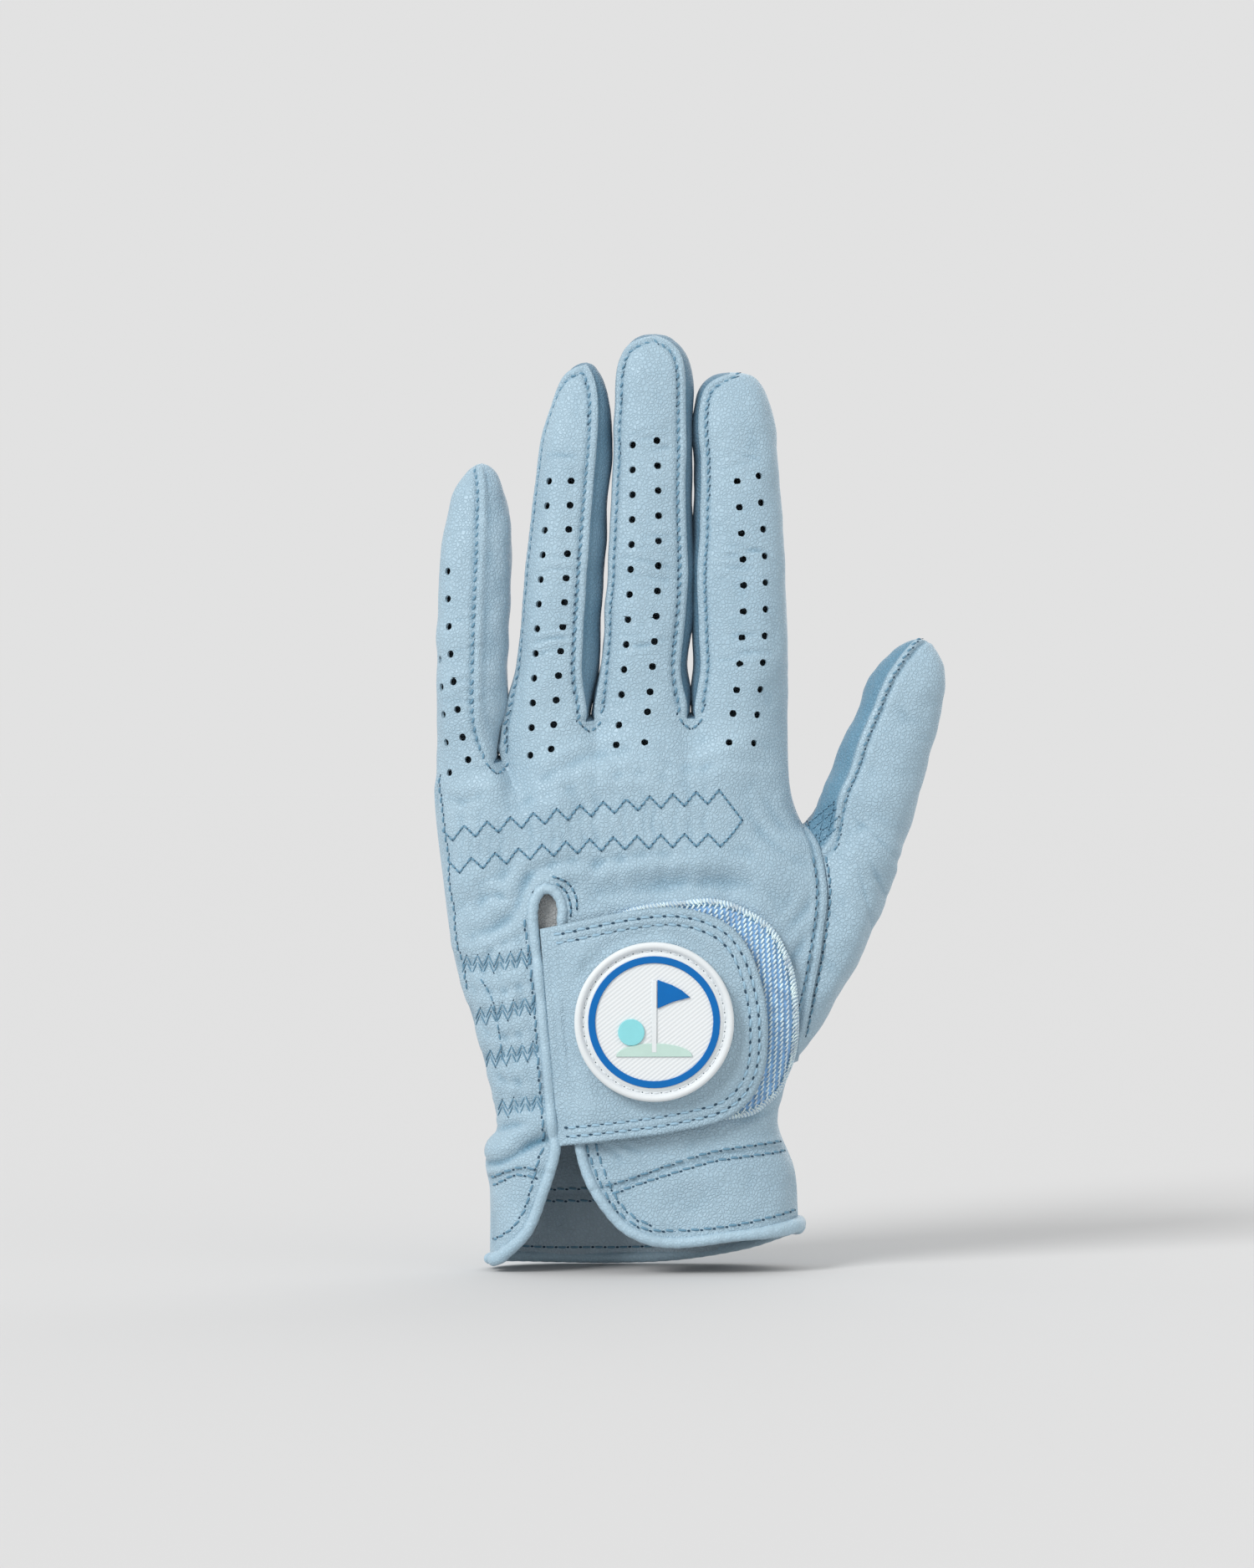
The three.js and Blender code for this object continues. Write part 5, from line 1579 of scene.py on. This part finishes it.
def loop_depth(x, z, d):
    h = -0.4 * (1 - smooth(d, 0, 0.9)) - 0.2 * bell(d, 1.5, 0.4) + 0.2 * smooth(d, 2.0, 2.8)
    return back_y(x, z) - 0.3 - smooth(x, 18, 35) - 0.9 - h


loop_centre = np.array([8, 62.0])
grid, reach = pad(loop_outline, loop_centre, 60, loop_depth)
patch = pad_piece("loop_patch_pile", grid, [LOOP, SELVEDGE], 0.9, reach[:-1] < 0.9)
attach(patch, "hand")
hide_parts("loop_patch")
thread = Thread(THREAD)
away = outward(loop_outline, loop_centre, 200)
path, normals = on_back((loop_outline - away * 1.5)[::4], skin="loop_patch_pile")
thread.row(path, normals, pitch=2.0, radius=0.16, hole=0.2)
strands = Thread(STRAND)
inner_outline = loop_outline - away * 0.9
for inset, pitch, lean in ((0.5, 0.8, 75), (1.0, 0.95, 52)):
    path, normals = on_back((loop_outline - away * inset)[::4], skin="loop_patch_pile")
    strands.row(path, normals, pitch=pitch, radius=0.15, share=1.8, slant=lean, hole=0, proud=0.1)


def crossings(outline, x):
    """Where a vertical line meets a closed outline: its lowest and highest z."""
    a, b = outline, np.roll(outline, -1, axis=0)
    cut = (a[:, 0] - x) * (b[:, 0] - x) < 0
    z = a[cut, 1] + (x - a[cut, 0]) / (b[cut, 0] - a[cut, 0]) * (b[cut, 1] - a[cut, 1])
    return (z.min(), z.max()) if cut.sum() > 1 else (0, 0)


for x in np.arange(-13.4, 34.5, 1.35):
    low, high = crossings(inner_outline, x)
    if high - low < 4:
        continue
    heights = np.linspace(low + 0.3, high - 0.3, 9)
    line = [(x + 0.9 * math.sin((z - low) / (high - low) * math.pi), z) for z in heights]
    path, normals = on_back(line, skin="loop_patch_pile")
    strands.row(path, normals, pitch=1.15, radius=0.2, share=1.25, slant=34, hole=0, proud=0.12)
pile = strands.build("loop_patch_strands")
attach(pile, "hand")
patch_stitches = thread.build("loop_patch_stitches")
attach(patch_stitches, "hand")

# ------------------------------------------------------------------ badge
BX, BZ = 1.8, 59.9
BADGE_BACK = -19.6
RUBBER = plain_material("badge_rubber", srgb(218, 223, 225), 0.42, 300, 0.05, 0.0001, 0.02)
BLUE = plain_material("badge_blue", srgb(4, 100, 172), 0.4, 300, 0.05, 0.0001, 0.04)
MINT = plain_material("badge_mint", srgb(186, 212, 203), 0.42, 300, 0.05, 0.0001, 0.03)
AQUA = plain_material("badge_aqua", srgb(136, 208, 214), 0.42, 300, 0.05, 0.0001, 0.03)
for rubber in (RUBBER, BLUE, MINT, AQUA):
    rubber.node_tree.nodes["Principled BSDF"].inputs["Specular IOR Level"].default_value = 0.2


def twill_material():
    """White rubber pressed with fine diagonal twill."""
    material, tree, shader = new_material("badge_twill")
    place = node(tree, "ShaderNodeTexCoord").outputs["Object"]
    turned = node(tree, "ShaderNodeMapping", {"Vector": place, "Rotation": (0, math.radians(38), 0)})
    lines = node(tree, "ShaderNodeTexWave",
                 {"Vector": turned.outputs["Vector"], "Scale": 380, "Distortion": 0.3}, bands_direction="Z")
    colour = ramp(tree, lines.outputs["Fac"], srgb(213, 218, 220), srgb(225, 228, 229))
    pressed = node(tree, "ShaderNodeBump", {"Strength": 0.3, "Distance": 0.0002, "Height": lines.outputs["Fac"]})
    finish_shader(tree, shader, colour, pressed, 0.5)
    return material


BADGE_SIDES = 180
profile = np.array([  # (radius, height) from the middle of the face to the back
    (0.05, 1.5), (6, 1.5), (12.6, 1.5), (13.7, 1.5), (15.5, 1.52), (15.95, 1.5), (16.2, 1.2), (16.5, 1.05),
    (16.9, 1.05), (17.1, 1.3), (17.35, 1.75), (17.8, 1.95), (18.3, 1.9), (18.65, 1.6), (18.8, 1.2), (18.8, 0.1), (18.6, 0),
])
turn = np.linspace(0, 2 * math.pi, BADGE_SIDES, endpoint=False)
ring = np.stack([
    BX + profile[:, :1] * np.cos(turn),
    np.broadcast_to(BADGE_BACK - profile[:, 1:], (len(profile), BADGE_SIDES)),
    BZ + profile[:, :1] * np.sin(turn),
], axis=-1)
faces = grid_faces(len(profile), BADGE_SIDES, closed=True)
faces = outwards(ring.reshape(-1, 3), faces, np.array([BX, 40, BZ]))
field = np.repeat(profile[:-1, 0] < 15, BADGE_SIDES)
badge = mesh("badge_disc", ring.reshape(-1, 3), faces, [RUBBER, twill_material()], field)
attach(badge, "tab")
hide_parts("badge_base")
GROOVE = 16.7  # radius of the rim's stitched groove
depth = np.full(BADGE_SIDES, BADGE_BACK - 1.05)
circle = np.stack([BX + GROOVE * np.cos(turn), depth, BZ + GROOVE * np.sin(turn)], axis=1)
WHITE_THREAD = plain_material("badge_thread", srgb(214, 220, 224), 0.6, 3000, 0.3)
thread = Thread(WHITE_THREAD)
thread.row(np.concatenate([circle, circle[:1]]), np.broadcast_to([0, -1.0, 0], (BADGE_SIDES + 1, 3)), pitch=2.2,
           radius=0.14, hole=0.16, proud=0.02)
badge_stitches = thread.build("badge_stitches")
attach(badge_stitches, "tab")


def emblem(name, outline, front, tall, material, cad_node, hole=None):
    """A low moulded shape on the badge, with a rounded top edge."""
    curve_data = bpy.data.curves.new(name, "CURVE")
    curve_data.dimensions = "2D"
    curve_data.fill_mode = "BOTH"
    for ring_points in [outline] + ([hole] if hole is not None else []):
        spline = curve_data.splines.new("POLY")
        spline.points.add(len(ring_points) - 1)
        for point, (px, pz) in zip(spline.points, ring_points):
            point.co = (px * MM, pz * MM, 0, 1)
        spline.use_cyclic_u = True
    curve_data.extrude = tall * MM / 2
    curve_data.bevel_depth = 0.12 * MM
    curve_data.bevel_resolution = 2
    source = add_object(name, curve_data)
    source.rotation_euler = (math.pi / 2, 0, 0)
    source.location = (BX * MM, (front + tall / 2) * MM, BZ * MM)
    bpy.context.view_layer.update()
    data = bpy.data.meshes.new_from_object(source.evaluated_get(bpy.context.evaluated_depsgraph_get()))
    data.transform(source.matrix_world)
    bpy.data.objects.remove(source)
    data.materials.clear()
    data.materials.append(material)
    obj = add_object(name, data)
    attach(obj, "tab")
    if cad_node:
        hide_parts(cad_node)


FACE = BADGE_BACK - 1.5


def round_points(cx, cz, rx, rz, first=0, last=360, count=72):
    a = np.radians(np.linspace(first, last, count, endpoint=last - first < 360))
    return [(cx + rx * math.cos(t), cz + rz * math.sin(t)) for t in a]


emblem("badge_blue_ring", round_points(0, 0, 15.4, 15.4)[:-1], FACE - 0.25, 0.5, BLUE, "badge_ring",
       hole=round_points(0, 0, 14, 14)[:-1])
emblem("badge_flag_pole", [(-0.45, -7), (0.45, -7), (0.45, 9.6), (-0.45, 9.6)], FACE - 0.3, 0.5, RUBBER,
       None)
emblem("badge_flag_cloth", [(0.9, 3.4), (4.4, 4.9), (8.2, 5.9), (6.4, 7.4), (4.2, 8.6), (0.9, 9.8)],
       FACE - 0.35, 0.5, BLUE, "badge_flag")
emblem("badge_green_mound", round_points(0, -8.0, 8.8, 2.9, 0, 180, 40), FACE - 0.25, 0.4, MINT,
       "badge_green")
emblem("badge_golf_ball", round_points(-5.4, -2.4, 3, 3)[:-1], FACE - 0.45, 0.6, AQUA, "badge_ball")


# ------------------------------------------------------------------ pieces that keep their CAD shape
def woven_elastic():
    """Knitted elastic tape: fine ribs across it."""
    material, tree, shader = new_material("elastic")
    place = node(tree, "ShaderNodeTexCoord").outputs["Object"]
    ribs = node(tree, "ShaderNodeTexWave", {"Vector": place, "Scale": 420, "Distortion": 0.4}, bands_direction="X")
    cross = node(tree, "ShaderNodeTexWave", {"Vector": place, "Scale": 260, "Distortion": 0.4}, bands_direction="Z")
    both = node(tree, "ShaderNodeMath", {0: ribs.outputs["Fac"], 1: cross.outputs["Fac"]}, operation="ADD")
    colour = ramp(tree, ribs.outputs["Fac"], srgb(178, 190, 200), srgb(214, 222, 228))
    raised = node(tree, "ShaderNodeBump", {"Strength": 0.6, "Distance": 0.0003, "Height": both.outputs[0]})
    finish_shader(tree, shader, colour, raised, 0.8)
    return material


def hook_material():
    """Moulded hooks: rows of small glossy points on a pale tape."""
    material, tree, shader = new_material("hook_fastener")
    place = node(tree, "ShaderNodeTexCoord").outputs["Object"]
    points = node(tree, "ShaderNodeTexVoronoi", {"Vector": place, "Scale": 900, "Randomness": 0.15})
    colour = ramp(tree, points.outputs["Distance"], srgb(226, 232, 236), srgb(168, 184, 198))
    raised = node(tree, "ShaderNodeBump",
                  {"Strength": 0.9, "Distance": 0.0006, "Height": points.outputs["Distance"]})
    raised.invert = True
    finish_shader(tree, shader, colour, raised, 0.35)
    return material


ELASTIC = woven_elastic()
for name in ["knuckle_elastic"] + [f"wrist_elastic_{number}" for number in (1, 2, 3, 4)]:
    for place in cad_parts[name].material_slots:
        place.material = ELASTIC
HOOKS = hook_material()
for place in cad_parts["hook_pad"].material_slots:
    place.material = HOOKS

# ------------------------------------------------------------------ studio
def camera_and_light():
    data = bpy.data.cameras.new("camera")
    data.lens = 120
    data.sensor_width = 36
    camera = add_object("camera", data)
    camera.location = (-0.0046, -1.25, 0.1159)
    camera.rotation_euler = (math.pi / 2, 0, 0)
    bpy.context.scene.camera = camera
    world = bpy.data.worlds.new("studio")
    bpy.context.scene.world = world
    world.use_nodes = True
    world.node_tree.nodes["Background"].inputs["Color"].default_value = (0.76, 0.76, 0.76, 1)
    world.node_tree.nodes["Background"].inputs["Strength"].default_value = SKY
    for name, direction, spread, strength in LIGHTS:
        light = bpy.data.lights.new(name, "SUN")
        light.energy = strength
        light.angle = math.radians(spread)
        lamp = add_object(name, light)
        lamp.rotation_euler = Vector(direction).to_track_quat("Z", "Y").to_euler()
    low = float(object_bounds()[0][2]) - 0.0001
    reach = 60  # metres from the middle to each side of the floor
    corners = [(-reach, -reach, low), (reach, -reach, low), (reach, reach, low), (-reach, reach, low)]
    floor_data = bpy.data.meshes.new("floor")
    floor_data.from_pydata(corners, [], [(0, 1, 2, 3)])
    floor_material, tree, shader = new_material("floor")
    mottle = node(tree, "ShaderNodeTexNoise", {"Scale": 3.0, "Detail": 2})
    tone = node(tree, "ShaderNodeMapRange",
                {"Value": mottle.outputs["Fac"], "To Min": FLOOR - 0.004, "To Max": FLOOR + 0.004})
    tree.links.new(tone.outputs["Result"], shader.inputs["Base Color"])
    shader.inputs["Roughness"].default_value = 1
    shader.inputs["Specular IOR Level"].default_value = 0
    floor_data.materials.append(floor_material)
    add_object("floor", floor_data)


SKY = 1.0
FLOOR = 0.608  # the floor's albedo that makes it as bright as the background
LIGHTS = (  # name, direction towards it, how wide it looks in degrees, strength
    ("key", (-0.75, -0.85, 0.8), 24, 2.0),
    ("fill", (0.9, -0.6, 0.35), 50, 0.2),
    ("back", (0.3, 0.9, 0.5), 60, 0.7),
)
bpy.context.scene.view_settings.view_transform = "Standard"
camera_and_light()
